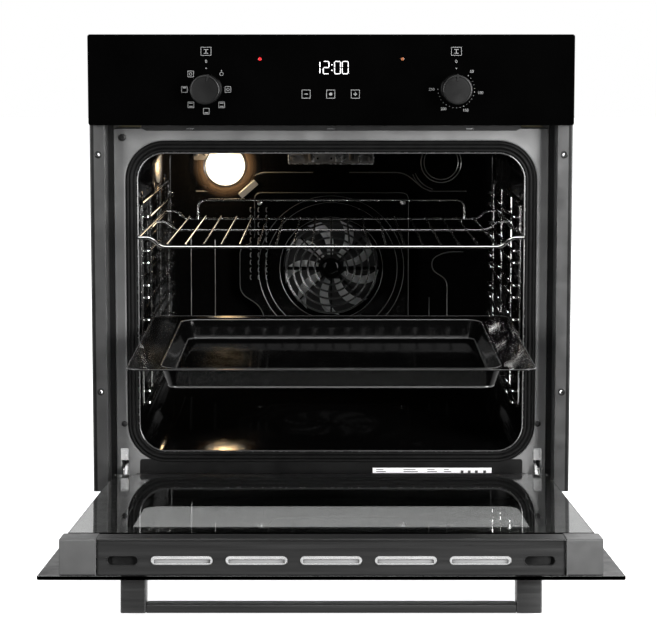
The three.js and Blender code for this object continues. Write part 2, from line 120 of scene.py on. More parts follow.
def rounded(u0, u1, v0, v1, radius, steps=8):
    """A rectangle with round corners, counter-clockwise."""
    points = []
    corners = ((u1, v0, -1, 1, -90), (u1, v1, -1, -1, 0), (u0, v1, 1, -1, 90), (u0, v0, 1, 1, 180))
    for u, v, inward_u, inward_v, start in corners:
        for step in range(steps + 1):
            angle = math.radians(start + 90 * step / steps)
            points.append((u + radius * (inward_u + math.cos(angle)),
                           v + radius * (inward_v + math.sin(angle))))
    return points


def circle(u, v, radius, steps=32):
    """A counter-clockwise circle."""
    turn = 2 * math.pi / steps
    return [(u + radius * math.cos(i * turn), v + radius * math.sin(i * turn)) for i in range(steps)]


def grown(outline, distance):
    """A counter-clockwise outline moved outwards."""
    moved = []
    count = len(outline)
    for i, here in enumerate(outline):
        before, after = outline[i - 1], outline[(i + 1) % count]
        first = Vector((here[1] - before[1], before[0] - here[0])).normalized()
        second = Vector((after[1] - here[1], here[0] - after[0])).normalized()
        mitre = (first + second) / max(1 + first.dot(second), 0.3)
        moved.append((here[0] + mitre.x * distance, here[1] + mitre.y * distance))
    return moved


def loft(bm, rings, closed=True, ends=False):
    """Joins rings of equally many points with quads."""
    layers = [[bm.verts.new(point) for point in ring] for ring in rings]
    count = len(layers[0])
    for near, far in zip(layers, layers[1:]):
        for i in range(count if closed else count - 1):
            j = (i + 1) % count
            bm.faces.new((near[i], near[j], far[j], far[i]))
    if ends:
        bm.faces.new(layers[0])
        bm.faces.new(layers[-1][::-1])
    return layers


def plate(bm, contours, near, far, edge, lift=facing_front):
    """A flat plate with broken edges; the first contour is its outline and the others are holes."""
    faces = ([], [])
    for number, contour in enumerate(contours):
        inset = grown(contour, edge if number else -edge)
        sections = [(inset, near), (contour, near + edge), (contour, far - edge), (inset, far)]
        layers = loft(bm, [[lift(u, v, depth) for u, v in outline] for outline, depth in sections])
        for face, layer in zip(faces, (layers[0], layers[-1])):
            face += [bm.edges.get((a, b)) for a, b in zip(layer, layer[1:] + layer[:1])]
    for face in faces:
        bmesh.ops.triangle_fill(bm, use_beauty=True, edges=face)


def slab(bm, low, high, edge=0.4 * MM):
    """A block with soft edges between two corners."""
    plate(bm, [rounded(low[0], high[0], low[2], high[2], 2 * edge, 3)], low[1], high[1], edge)


def swept(bm, outline, section, lift):
    """Sweeps a closed section of (growth, depth) points round an outline."""
    rings = [[lift(u, v, depth) for u, v in grown(outline, growth)] for growth, depth in section]
    loft(bm, rings + rings[:1])


def bent(points, radius, steps=5, closed=False):
    """The same route with its corners rounded."""
    points = [Vector(point) for point in points]
    path = []
    for i, corner in enumerate(points):
        if not closed and i in (0, len(points) - 1):
            path.append(corner)
            continue
        back = points[i - 1] - corner
        ahead = points[(i + 1) % len(points)] - corner
        reach = min(radius, 0.49 * back.length, 0.49 * ahead.length)
        start = corner + back.normalized() * reach
        end = corner + ahead.normalized() * reach
        for step in range(steps + 1):
            t = step / steps
            path.append(start * (1 - t) ** 2 + corner * 2 * t * (1 - t) + end * t * t)
    return path


def tube(bm, points, radius, sides=10, closed=False):
    """A round wire along a route."""
    rings = []
    up = None
    last = len(points) - 1
    for i, here in enumerate(points):
        before = points[i - 1] if i or closed else here
        after = points[(i + 1) % len(points)] if i < last or closed else here
        along = (after - before).normalized()
        up = along.orthogonal() if up is None else up
        up = (up - along * up.dot(along)).normalized()
        across = along.cross(up)
        angles = [2 * math.pi * side / sides for side in range(sides)]
        rings.append([here + radius * (math.cos(a) * up + math.sin(a) * across) for a in angles])
    loft(bm, rings + rings[:1] if closed else rings, ends=not closed)


def wire(bm, a, b, radius, sides=10):
    """A straight round wire."""
    tube(bm, [Vector(a), Vector(b)], radius, sides)


def dished(bm, x, z, section, steps):
    """A ring that faces the front, swept from a closed section of (radius, depth) points."""
    rings = [[facing_front(u, v, depth) for u, v in circle(x, z, radius, steps)] for radius, depth in section]
    loft(bm, rings + rings[:1])


def turned(bm, centre, profile, steps=40, along=FORWARD, flutes=0, depth=0.0):
    """A turned shape: profile holds (radius, height along the axis); flutes groove its widest part."""
    first = along.orthogonal().normalized()
    second = along.cross(first)
    widest = max(radius for radius, _ in profile)
    rings = []
    for radius, height in profile:
        ring = []
        for i in range(steps):
            angle = 2 * math.pi * i / steps
            groove = depth * (0.5 + 0.5 * math.cos(flutes * angle)) if radius > 0.97 * widest else 0
            out = (radius - groove) * (math.cos(angle) * first + math.sin(angle) * second)
            ring.append(Vector(centre) + out + along * height)
        rings.append(ring)
    loft(bm, rings, ends=True)


def cross_screw(bm, centre, radius, height, along=FORWARD):
    """A round-headed screw with a cross recess, drawn as four raised quarters round a lower core."""
    head = [(1, 0), (1, 0.5), (0.86, 0.8), (0.6, 1), (0.34, 1), (0.3, 0.55)]
    turned(bm, centre, [(share * radius, rise * height) for share, rise in head], 24, along)
    first = along.orthogonal().normalized()
    for arm in range(4):
        turn = Matrix.Rotation(math.radians(45 + 90 * arm), 3, along)
        outward = turn @ first
        tip = Vector(centre) + along * height * 0.75
        tube(bm, [tip + outward * 0.12 * radius, tip + outward * 0.4 * radius], 0.17 * radius, 6)


def numerals(bm, text, size, x, z):
    """Flat figures on the control panel."""
    letters = bpy.data.curves.new("figures", "FONT")
    letters.body = text
    letters.size = size
    letters.align_x = "CENTER"
    letters.align_y = "CENTER"
    letters.extrude = PRINT / 2
    holder = bpy.data.objects.new("figures", letters)
    mesh = bpy.data.meshes.new_from_object(holder)
    mesh.transform(Matrix.Translation((x, FACE - PRINT / 2, z)) @ Matrix.Rotation(math.pi / 2, 4, "X"))
    bm.from_mesh(mesh)
    bpy.data.meshes.remove(mesh)
    bpy.data.objects.remove(holder)
    bpy.data.curves.remove(letters)


def piece(name, bm, material, body, slot, *nodes, smooth=35):
    """Turns a drawing into a named piece that rides on a body and stands for CAD nodes."""
    bmesh.ops.remove_doubles(bm, verts=bm.verts, dist=1e-7)
    bmesh.ops.recalc_face_normals(bm, faces=bm.faces)
    mesh = bpy.data.meshes.new(name)
    bm.to_mesh(mesh)
    bm.free()
    mesh.materials.append(material)
    mesh.shade_smooth()
    mesh.set_sharp_from_angle(angle=math.radians(smooth))
    shape = bpy.data.objects.new(name, mesh)
    bpy.context.scene.collection.objects.link(shape)
    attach(shape, body)
    if nodes:
        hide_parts(*nodes)
    return shape


def refined(name, node, material, body, slot, edge=0.35 * MM, segments=2):
    """A CAD node drawn again with softened edges."""
    source = frame["nodes"][node].data
    bm = bmesh.new()
    bm.from_mesh(source)
    bmesh.ops.remove_doubles(bm, verts=bm.verts, dist=1e-6)
    bmesh.ops.dissolve_limit(bm, angle_limit=math.radians(1), verts=bm.verts, edges=bm.edges)
    plain = bmesh.new()
    copies = {vertex: plain.verts.new(vertex.co) for vertex in bm.verts}
    for face in bm.faces:
        plain.faces.new([copies[vertex] for vertex in face.verts])
    bm.free()
    shape = piece(name, plain, material, body, slot, node, smooth=30)
    bevel = shape.modifiers.new("edges", "BEVEL")
    bevel.width = edge
    bevel.segments = segments
    bevel.limit_method = "ANGLE"
    bevel.angle_limit = math.radians(35)
    bevel.harden_normals = True
    return shape


# ---- materials ----
def add_node(tree, kind, values=()):
    """A new shader node with some of its inputs set."""
    node = tree.nodes.new(kind)
    for socket, value in dict(values).items():
        node.inputs[socket].default_value = value
    return node


class Surface:
    """A Principled material whose colour, gloss and relief come from noise in the object's own space."""

    def __init__(self, name, metallic=0.0, ior=1.5, specular=0.5):
        self.material = bpy.data.materials.new(name)
        self.material.use_nodes = True
        self.tree = self.material.node_tree
        self.shader = self.tree.nodes["Principled BSDF"]
        self.shader.inputs["Metallic"].default_value = metallic
        self.shader.inputs["IOR"].default_value = ior
        self.shader.inputs["Specular IOR Level"].default_value = specular
        self.place = self.add("ShaderNodeTexCoord").outputs["Object"]

    def add(self, kind, values=()):
        return add_node(self.tree, kind, values)

    def join(self, a, b):
        self.tree.links.new(a, b)

    def noise(self, scale, stretch=(1, 1, 1), detail=4.0, roughness=0.55):
        mapping = self.add("ShaderNodeMapping", {"Scale": stretch})
        self.join(self.place, mapping.inputs["Vector"])
        noise = self.add("ShaderNodeTexNoise", {"Scale": scale, "Detail": detail, "Roughness": roughness})
        self.join(mapping.outputs["Vector"], noise.inputs["Vector"])
        return noise.outputs["Fac"]

    def cells(self, scale):
        cells = self.add("ShaderNodeTexVoronoi", {"Scale": scale})
        self.join(self.place, cells.inputs["Vector"])
        return cells.outputs["Color"]

    def ramp(self, value, low, high, first=0.3, last=0.7):
        ramp = self.add("ShaderNodeValToRGB")
        ramp.color_ramp.elements[0].color = (*low, 1)
        ramp.color_ramp.elements[1].color = (*high, 1)
        ramp.color_ramp.elements[0].position = first
        ramp.color_ramp.elements[1].position = last
        self.join(value, ramp.inputs["Fac"])
        return ramp.outputs["Color"]

    def colour(self, value, low, high, first=0.3, last=0.7):
        self.join(self.ramp(value, low, high, first, last), self.shader.inputs["Base Color"])

    def gloss(self, value, smoothest, roughest):
        spread = self.add("ShaderNodeMapRange", {"From Min": 0.3, "From Max": 0.7,
                                                 "To Min": smoothest, "To Max": roughest})
        self.join(value, spread.inputs["Value"])
        self.join(spread.outputs["Result"], self.shader.inputs["Roughness"])

    def glow(self, shade, strength):
        """The same shade as surface colour and as its own light."""
        self.join(shade, self.shader.inputs["Base Color"])
        self.join(shade, self.shader.inputs["Emission Color"])
        self.shader.inputs["Emission Strength"].default_value = strength

    def relief(self, value, strength, height=0.1 * MM):
        bump = self.add("ShaderNodeBump", {"Strength": strength, "Distance": height})
        self.join(value, bump.inputs["Height"])
        self.join(bump.outputs["Normal"], self.shader.inputs["Normal"])


def grey(value):
    return (value, value, value)


def galvanised():
    """Zinc-coated steel with its pale crystal pattern and rolling marks."""
    s = Surface("galvanised_steel", metallic=0.85)
    s.colour(s.cells(120), grey(0.42), grey(0.51), 0.2, 0.9)
    s.gloss(s.noise(25, detail=6), 0.42, 0.58)
    s.relief(s.noise(900, (1, 1, 0.1)), 0.12)
    return s.material


def bright_zinc():
    """Small plated fittings."""
    s = Surface("bright_zinc", metallic=0.9)
    s.colour(s.noise(90, detail=6), grey(0.52), grey(0.72))
    s.gloss(s.noise(160), 0.16, 0.34)
    s.relief(s.noise(1400), 0.08)
    return s.material


def satin_paint(name, level, roughness=0.36, metallic=0.35):
    """Fine-grained powder coat with a slight metallic lustre."""
    s = Surface(name, metallic=metallic)
    s.colour(s.noise(14, detail=5), grey(0.92 * level), grey(1.08 * level))
    s.gloss(s.noise(45, detail=5), roughness - 0.05, roughness + 0.06)
    s.relief(s.noise(2600, detail=3), 0.16, 0.05 * MM)
    return s.material


def brushed_alloy(name, level, stretch):
    """Anodised aluminium with drawn lines along its length."""
    s = Surface(name, metallic=0.8)
    s.colour(s.noise(260, stretch, detail=7), grey(0.84 * level), grey(1.16 * level))
    s.gloss(s.noise(300, stretch, detail=6), 0.26, 0.4)
    s.relief(s.noise(700, stretch, detail=5), 0.18, 0.05 * MM)
    return s.material


def black_glass():
    """Ceramic-printed black glass with a faint film of handling marks."""
    s = Surface("black_glass")
    s.colour(s.noise(12, detail=5), grey(0.0004), grey(0.0008))
    s.gloss(s.noise(22, detail=6), 0.01, 0.03)
    return s.material


def pane(name, tint, ior):
    """A clear or tinted glass pane; a few streaks show where it was wiped."""
    s = Surface(name, ior=ior)
    s.shader.inputs["Transmission Weight"].default_value = 1.0
    s.colour(s.noise(9, (1, 4, 1), detail=5), [0.93 * part for part in tint], tint)
    s.gloss(s.noise(18, (1, 5, 1), detail=6), 0.0, 0.001)
    return s.material


def black_print():
    """The fired-on border of a door pane."""
    s = Surface("black_print", specular=0.35)
    s.colour(s.noise(30), grey(0.0015), grey(0.003))
    s.gloss(s.noise(60), 0.3, 0.45)
    s.relief(s.noise(1500), 0.05)
    return s.material


def enamel():
    """Glossy black enamel: fine pale specks and a gentle orange-peel surface."""
    s = Surface("black_enamel", specular=0.14)
    speckle = s.noise(1500, detail=2, roughness=0.7)
    s.colour(speckle, grey(0.0014), grey(0.010), 0.60, 0.80)
    s.gloss(s.noise(35, detail=5), 0.06, 0.13)
    s.relief(s.noise(160, detail=3), 0.03, 0.25 * MM)
    return s.material


def heated_enamel():
    """Enamel round the lamp with a painted pool of the lamp's warm light, brightest at the lens and fading to
    black further out.
    """
    s = Surface("heated_enamel")
    reach = 50 * MM
    mapping = s.add("ShaderNodeMapping", {"Scale": (1 / reach,) * 3,
                                          "Location": -centre_of("lamp_lens") / reach})
    fade = s.add("ShaderNodeTexGradient")
    fade.gradient_type = "SPHERICAL"
    s.join(s.place, mapping.inputs["Vector"])
    s.join(mapping.outputs["Vector"], fade.inputs["Vector"])
    # painted light: a warm pool of lamp light painted into the enamel's colour, fading with distance from the
    # lens
    s.colour(fade.outputs["Fac"], grey(0.0012), (0.075, 0.052, 0.034), 0.02, 0.6)
    s.gloss(s.noise(50), 0.12, 0.2)
    s.relief(s.noise(160, detail=3), 0.10, 0.25 * MM)
    return s.material


def silicone():
    """The door seal: matt silicone with a fine ribbed skin."""
    s = Surface("seal_silicone", specular=0.15)
    s.colour(s.noise(70, detail=5), grey(0.002), grey(0.005))
    s.gloss(s.noise(120), 0.5, 0.66)
    s.relief(s.noise(1900, detail=3), 0.3)
    return s.material


def moulded(name, level, roughness=0.45):
    """Moulded plastic with a fine spark-eroded grain."""
    s = Surface(name)
    s.colour(s.noise(40, detail=5), grey(0.9 * level), grey(1.1 * level))
    s.gloss(s.noise(80, detail=4), roughness - 0.07, roughness + 0.08)
    s.relief(s.cells(2400), 0.15, 0.04 * MM)
    return s.material


def chrome():
    """Bright plated wire, slightly dulled by heat in places."""
    s = Surface("chromed_wire", metallic=1.0)
    s.colour(s.noise(30, detail=6), (0.72, 0.71, 0.69), (0.88, 0.88, 0.88))
    s.gloss(s.noise(110, detail=5), 0.08, 0.22)
    s.relief(s.noise(500), 0.05)
    return s.material


def heated_steel():
    """Bare steel that the heating elements have turned dark grey."""
    s = Surface("element_tube", metallic=0.7)
    s.colour(s.noise(50, detail=6), (0.10, 0.095, 0.09), (0.22, 0.215, 0.21))
    s.gloss(s.noise(90), 0.3, 0.5)
    s.relief(s.noise(800), 0.15)
    return s.material


def wool():
    s = Surface("mineral_wool")
    s.colour(s.noise(60, detail=8), (0.42, 0.36, 0.2), (0.72, 0.66, 0.45))
    s.gloss(s.noise(60), 0.9, 1.0)
    s.relief(s.noise(300, detail=8), 0.9, 1.5 * MM)
    return s.material


def ceramic():
    s = Surface("ceramic_socket")
    s.colour(s.noise(80, detail=5), (0.66, 0.64, 0.58), (0.8, 0.78, 0.73))
    s.gloss(s.noise(100), 0.35, 0.55)
    s.relief(s.noise(1200), 0.1)
    return s.material


def lit(name, colour, strength):
    """A glowing lens with a slightly mottled brightness."""
    s = Surface(name)
    s.glow(s.ramp(s.noise(120), [0.85 * part for part in colour], colour), strength)
    s.gloss(s.noise(200), 0.12, 0.25)
    return s.material


def printed(name, level, strength):
    """Ink on the control panel and the data label. On the panel print and the label the glow is painted
    light, standing in for light falling on them; the display digits are a lit display.
    """
    s = Surface(name)
    s.glow(s.ramp(s.noise(500), grey(0.85 * level), grey(level)), strength)
    s.gloss(s.noise(300), 0.5, 0.65)
    return s.material


ZINC = galvanised()
BRIGHT = bright_zinc()
PLATE_PAINT = satin_paint("face_paint", 0.34, 0.38, 0.8)
TRIM_PAINT = satin_paint("trim_paint", 0.15, 0.34, 0.85)
DARK_PAINT = satin_paint("dark_paint", 0.02)
BLACK_PAINT = satin_paint("black_paint", 0.003, 0.36, 0.0)
# lighter enamel for ridges, beads and edges: painted highlight lines standing in for light caught on rounded
# edges
HIGHLIGHT_ENAMEL = satin_paint("highlight_enamel", 0.10, 0.16, 0.3)
KNOB_FINISH = satin_paint("knob_finish", 0.006, 0.36, 0.2)
PROFILE_ALLOY = brushed_alloy("profile_alloy", 0.08, (0.02, 1, 1))
HANDLE_ALLOY = brushed_alloy("handle_alloy", 0.09, (0.02, 1, 1))
BLACK_GLASS = black_glass()
INNER_PANE = pane("coated_pane", (0.97, 0.98, 0.97), 1.3)
MIDDLE_PANE = pane("clear_pane", (0.98, 0.985, 0.98), 1.03)
OUTER_PANE = pane("tinted_pane", (0.78, 0.78, 0.78), 1.06)
PRINT_BORDER = black_print()
LAMP_DISH = heated_enamel()
BAFFLE = satin_paint("baffle_paint", 0.26, 0.5, 0.0)
HINGE_ZINC = satin_paint("hinge_zinc", 0.85, 0.28, 0.2)
# pale enamel on the shoulder slope and the left rims of the perforation: painted highlight
PALE_HIGHLIGHT_ENAMEL = satin_paint("pale_highlight_enamel", 0.2, 0.3, 0.3)
ENAMEL = enamel()
SEAL = silicone()
GREY_PLASTIC = moulded("grey_plastic", 0.075, 0.42)
BLACK_PLASTIC = moulded("black_plastic", 0.012)
CHROME = chrome()
ELEMENT = heated_steel()
WHEEL = satin_paint("fan_wheel_metal", 0.8, 0.3, 0.3)
WOOL = wool()
CERAMIC = ceramic()
LAMP_GLASS = lit("lamp_glass", (1.0, 0.88, 0.68), 2.2)
RED_LENS = lit("red_lens", (0.9, 0.015, 0.02), 0.3)
AMBER_LENS = lit("amber_lens", (0.30, 0.10, 0.04), 0.08)
# painted light: the panel print glows though it is no lamp, standing in for light falling on it
INK = printed("panel_ink", 0.22, 0.5)
DIGITS = printed("display_digits", 1.0, 0.75)
# painted light: the label film glows to stand in for light falling on it
LABEL = printed("label_film", 0.8, 0.26)
LABEL_INK = printed("label_ink", 0.03, 0.0)


# ---- outer body ----
SCREW_RADIUS = 3.6 * MM
SCREW_RISE = 1.9 * MM
SCREW_SINK = 0.2 * MM
BEAD_RADIUS = 1.8 * MM
SIDE_BEAD_RADIUS = 2.09 * MM


def outer_body():
    """The sheet-metal case: CAD sheets with seams, stiffening beads and screws added."""
    for node in ("side_panel_left", "side_panel_right", "base_panel", "rear_panel", "top_cover"):
        refined(f"{node}_sheet", node, ZINC, "oven_body", "zinc_sheet", 0.25 * MM, 1)
    for name, side in SIDES:
        low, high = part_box(f"side_panel_{name}")
        face = high.x if side > 0 else low.x
        bm = bmesh.new()
        for part in (0.14, 0.5, 0.86):
            y = low.y + part * (high.y - low.y)
            wire(bm, (face, y, low.z + 70 * MM), (face, y, high.z - 130 * MM), SIDE_BEAD_RADIUS, 12)
        for z in (low.z + 18 * MM, (low.z + high.z) / 2, high.z - 18 * MM):
            for y in (low.y + 14 * MM, high.y - 12 * MM):
                cross_screw(bm, (face - side * SCREW_SINK, y, z), SCREW_RADIUS, SCREW_RISE,
                            Vector((side, 0, 0)))
        piece(f"side_beads_{name}", bm, ZINC, "oven_body", "zinc_sheet")
    rear_details()
    top_details()


def rear_details():
    """Ring beads round the fan motor, side beads, screws and the collar of the cord's gland hole."""
    low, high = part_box("rear_panel")
    bm = bmesh.new()
    centre_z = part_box("fan_motor")[0].z + 62 * MM
    for reach, rise in ((88, 1.4), (70, 1.1)):
        route = [facing_front(u, v, high.y) for u, v in circle(0, centre_z, reach * MM, 48)]
        tube(bm, route, rise * MM, 8, closed=True)
    for side in (-1, 1):
        wire(bm, (side * 190 * MM, high.y, low.z + 60 * MM), (side * 190 * MM, high.y, high.z - 140 * MM),
             BEAD_RADIUS)
        for z in (low.z + 12 * MM, low.z + 300 * MM, high.z - 12 * MM):
            cross_screw(bm, (side * 262 * MM, high.y - SCREW_SINK, z), SCREW_RADIUS, SCREW_RISE, BACKWARD)
    hole = (centre_of("terminal_block").x, high.y, 480 * MM)
    turned(bm, hole, mm((14.5, -0.4), (14.5, 1.2), (13, 2), (11.6, 2), (11.2, -0.4)), 36, BACKWARD)
    piece("rear_beads", bm, ZINC, "oven_body", "zinc_sheet")


def top_details():
    """Stiffening beads and corner screws of the top cover."""
    low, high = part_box("top_cover")
    bm = bmesh.new()
    for side in (-1, 1):
        wire(bm, (side * 120 * MM, low.y + 40 * MM, high.z), (side * 120 * MM, high.y - 230 * MM, high.z),
             BEAD_RADIUS)
        for y in (low.y + 16 * MM, high.y - 16 * MM):
            cross_screw(bm, (side * 250 * MM, y, high.z - SCREW_SINK), SCREW_RADIUS, 1.8 * MM, UP)
    wire(bm, (-210 * MM, high.y - 60 * MM, high.z), (210 * MM, high.y - 60 * MM, high.z), BEAD_RADIUS)
    piece("top_beads", bm, ZINC, "oven_body", "zinc_sheet")


# ---- face around the cavity mouth ----
MOUTH_LOW, MOUTH_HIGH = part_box("cavity_gasket")
GASKET_BAND = 13.6 * MM
MOUTH_RADIUS = 35 * MM


def mouth(grow):
    """The outline of the cavity mouth, moved outwards."""
    reach = grow - GASKET_BAND
    return rounded(MOUTH_LOW.x - reach, MOUTH_HIGH.x + reach, MOUTH_LOW.z - reach, MOUTH_HIGH.z + reach,
                   MOUTH_RADIUS + grow, 14)


def mouth_rings(sections):
    return [[facing_front(u, v, depth) for u, v in mouth(growth)] for growth, depth in sections]


def mouth_loft(bm, sections):
    """Sweeps a closed section of (growth, depth) points round the mouth."""
    rings = mouth_rings(sections)
    loft(bm, rings + rings[:1])


def front_face():
    """The front plate: hinge slots, a rolled edge at the mouth, side flanges and a dark fold on top."""
    low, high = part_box("front_frame")
    bm = bmesh.new()
    slots = []
    for _, side in SIDES:
        ends = sorted((side * 257 * MM, side * 267.4 * MM))
        slots.append(rounded(ends[0], ends[1], 33 * MM, 72 * MM, 1.5 * MM, 4))
    outline = rounded(low.x, high.x, low.z, high.z, 2 * MM, 4)
    plate(bm, [outline, mouth(GASKET_BAND + 2.2 * MM), *slots], low.y, low.y + SHEET, 0.35 * MM)
    lip = GASKET_BAND + 0.7 * MM
    mouth_loft(bm, [(lip, low.y + 0.9 * MM), (lip + 0.7 * MM, low.y + 0.2 * MM), (lip + 1.9 * MM, low.y),
                    (lip + 1.9 * MM, low.y + SHEET), (lip, low.y + 4 * MM)])
    for _, side in SIDES:
        edge = low.x if side < 0 else high.x
        near, far = sorted((edge, edge - side * SHEET))
        slab(bm, (near, low.y + 0.5 * MM, 78 * MM), (far, high.y, high.z))
    piece("face_plate", bm, PLATE_PAINT, "oven_body", "dark_paint", "front_frame")
    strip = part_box("air_deflector")[1].x + 1 * MM
    bm = bmesh.new()
    for _, side in SIDES:
        ends = sorted((side * strip, side * (high.x - 1.4 * MM)))
        slab(bm, (ends[0], low.y + 1.6 * MM, high.z - 0.4 * MM),
             (ends[1], high.y + 6 * MM, high.z + 0.5 * MM))
    piece("face_top_fold", bm, BLACK_PAINT, "oven_body", "dark_paint")


def seal():
    """The gasket: three round ridges on a flat foot, the middle one standing furthest forward."""
    near, far = MOUTH_LOW.y, MOUTH_HIGH.y
    band = GASKET_BAND
    sections = [(0.4 * MM, far), (0.2 * MM, near + 1.8 * MM)]
    for start, stop, height in ((0.02, 0.30, 1.2), (0.36, 0.66, 0.0), (0.72, 0.99, 0.9)):
        for step in range(6):
            t = step / 5
            crown = math.sin(math.pi * t)
            sections.append((band * (start + (stop - start) * t),
                             near + height * MM + 1.3 * MM * (1 - crown)))
    sections.append((band, far))
    bm = bmesh.new()
    mouth_loft(bm, sections)
    piece("cavity_seal", bm, SEAL, "oven_body", "gasket_rubber", "cavity_gasket")


def trims():
    """The side trims, their screw holes with pressed collars, and black strips: one in the channel beside the
    plate as painted shade, one on the trim's face near its outer edge.
    """
    plate_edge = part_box("front_frame")[1].x
    collar = [(4.6, -0.05), (4.2, -0.35), (3.4, -0.45), (2.6, -0.2), (2.15, 0.6), (2.4, 0.9), (4.4, 0.1)]
    for name, side in SIDES:
        refined(f"trim_{name}", f"side_trim_{name}", TRIM_PAINT, "oven_body", "light_trim", 0.5 * MM)
        low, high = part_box(f"side_trim_{name}")
        bm = bmesh.new()
        for z in (151.2 * MM, 447.5 * MM):
            dished(bm, side * 287.3 * MM, z, [(reach * MM, low.y + rise * MM) for reach, rise in collar], 28)
        piece(f"trim_collars_{name}", bm, BLACK_PAINT, "oven_body", "dark_paint")
        bm = bmesh.new()
        # painted shade: a black strip laid in the channel between the plate and the trim
        near, far = sorted((side * (plate_edge + 0.4 * MM), side * 280 * MM))
        slab(bm, (near, high.y - 0.9 * MM, low.z), (far, high.y - 0.1 * MM, high.z))
        near, far = sorted((side * (plate_edge + 20.6 * MM), side * (plate_edge + 23.9 * MM)))
        slab(bm, (near, low.y - 0.15 * MM, low.z + 1 * MM), (far, low.y + 0.3 * MM, high.z), 0.2 * MM)
        piece(f"trim_channel_{name}", bm, BLACK_PAINT, "oven_body", "dark_paint")


def face_fittings():
    """What is fixed to the front plate: deflector strip, screw, rivets, the painted shade strip and highlight
    bead, and data label.
    """
    refined("deflector_strip", "air_deflector", BLACK_PLASTIC, "oven_body", "black_plastic", 0.4 * MM)
    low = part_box("air_deflector")[0]
    bm = bmesh.new()
    for x in (-176, 0, 173):
        slab(bm, ((x - 5) * MM, low.y - 0.25 * MM, low.z + 1.6 * MM),
             ((x + 5) * MM, low.y + 0.4 * MM, low.z + 3.2 * MM), 0.1 * MM)
    piece("deflector_clips", bm, BRIGHT, "oven_body", "zinc_sheet")
    low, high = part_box("frame_screw")
    middle = centre_of("frame_screw")
    bm = bmesh.new()
    cross_screw(bm, (middle.x, high.y, middle.z), (high.x - low.x) / 2, high.y - low.y)
    piece("face_screw", bm, BLACK_PLASTIC, "oven_body", "dark_paint", "frame_screw")
    head = [(1, 0), (1, 0.3), (0.92, 0.6), (0.7, 0.85), (0.4, 1), (0.05, 1)]
    for name, _ in SIDES:
        low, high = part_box(f"frame_rivet_{name}")
        middle = centre_of(f"frame_rivet_{name}")
        radius, rise = (high.x - low.x) / 2, high.y - low.y
        bm = bmesh.new()
        turned(bm, (middle.x, high.y, middle.z), [(share * radius, part * rise) for share, part in head], 28)
        piece(f"face_rivet_{name}", bm, BLACK_PLASTIC, "oven_body", "dark_paint", f"frame_rivet_{name}")
    sill()
    rating_plate()


def sill():
    """A black strip behind the data label, laid there as painted shade below the mouth, and the pale bead
    just inside the seal, a painted highlight line.
    """
    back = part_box("rating_label")[1].y
    bm = bmesh.new()
    outline = rounded(-243 * MM, 243 * MM, 24 * MM, MOUTH_LOW.z + 4 * MM, 3 * MM, 4)
    # painted shade: a black strip where the lower plate falls into shade between the seal and the door
    plate(bm, [outline], back - 0.25 * MM, back + 0.3 * MM, 0.1 * MM)
    piece("mouth_shade_strip", bm, BLACK_PAINT, "oven_body", "dark_paint")
    bm = bmesh.new()
    # painted highlight: a tube of lighter enamel just inside the seal, standing in for light caught on the
    # cavity's edge
    route = mouth_rings([(-1.0 * MM, MOUTH_LOW.y + 2.4 * MM)])[0]
    tube(bm, route, 0.8 * MM, 8, closed=True)
    piece("mouth_bead", bm, HIGHLIGHT_ENAMEL, "oven_body", "enamel")


def rating_plate():
    """The data label: a pale film with generic rows of marks and a few symbols."""
    low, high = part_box("rating_label")
    refined("label_sheet", "rating_label", LABEL, "oven_body", "label_film", 0.08 * MM, 1)
    bm = bmesh.new()
    mark = 0.06 * MM
    columns = ((0.03, 0.13), (0.26, 0.40), (0.46, 0.56), (0.60, 0.68))
    width, height = high.x - low.x, high.z - low.z
    for start, stop in columns:
        for row in range(3):
            z = low.z + (0.22 + 0.25 * row) * height
            reach = stop - 0.02 * row
            slab(bm, (low.x + start * width, low.y - mark, z),
                 (low.x + reach * width, low.y + mark, z + 0.9 * MM), 0.02 * MM)
    for start in (0.74, 0.80, 0.86, 0.93):
        x = low.x + start * width
        slab(bm, (x, low.y - mark, low.z + 3 * MM),
             (x + 3.6 * MM, low.y + mark, low.z + 6.6 * MM), 0.02 * MM)
    piece("label_marks", bm, LABEL_INK, "oven_body", "label_film")


# ---- cavity ----
BACK_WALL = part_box("cavity_liner")[1].y - SHEET


def cavity():
    """The enamelled shell: a flange at the front, straight walls, a bend and the rear wall."""
    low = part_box("cavity_liner")[0]
    bend = 6 * MM
    bm = bmesh.new()
    inner = [(18 * MM, low.y), (2.5 * MM, low.y), (0.8 * MM, low.y + 0.6 * MM), (0, low.y + 2.2 * MM),
             (0, BACK_WALL - bend), (-0.3 * bend, BACK_WALL - 0.3 * bend), (-bend, BACK_WALL)]
    outer = [(-bend, BACK_WALL + SHEET), (SHEET, BACK_WALL - bend + SHEET), (SHEET, low.y + SHEET),
             (18 * MM, low.y + SHEET)]
    front = loft(bm, mouth_rings(inner))
    behind = loft(bm, mouth_rings(outer))
    bm.faces.new(front[-1])
    bm.faces.new(behind[0])
    for i in range(len(front[0])):
        j = (i + 1) % len(front[0])
        bm.faces.new((front[0][i], front[0][j], behind[-1][j], behind[-1][i]))
    piece("cavity_shell", bm, ENAMEL, "oven_body", "enamel", "cavity_liner")
    embossing()
    lip()


def lip():
    """The rolled edge of the cavity behind the seal, drawn in bright zinc as painted highlight."""
    bm = bmesh.new()
    route = mouth_rings([(0.2 * MM, MOUTH_HIGH.y + 0.2 * MM)])[0]
    tube(bm, route, 0.55 * MM, 6, closed=True)
    # painted highlight: the enamel lip is given bright zinc so that it reads as a lit line
    piece("cavity_lip", bm, BRIGHT, "oven_body", "enamel")


def back_route(points, radius=8 * MM):
    """A route on the rear wall, given in millimetres."""
    return bent([(x * MM, BACK_WALL, z * MM) for x, z in points], radius, 6)


def ring_route(x, z, radius, depth=BACK_WALL, steps=64):
    return [facing_front(u, v, depth) for u, v in circle(x, z, radius, steps)]


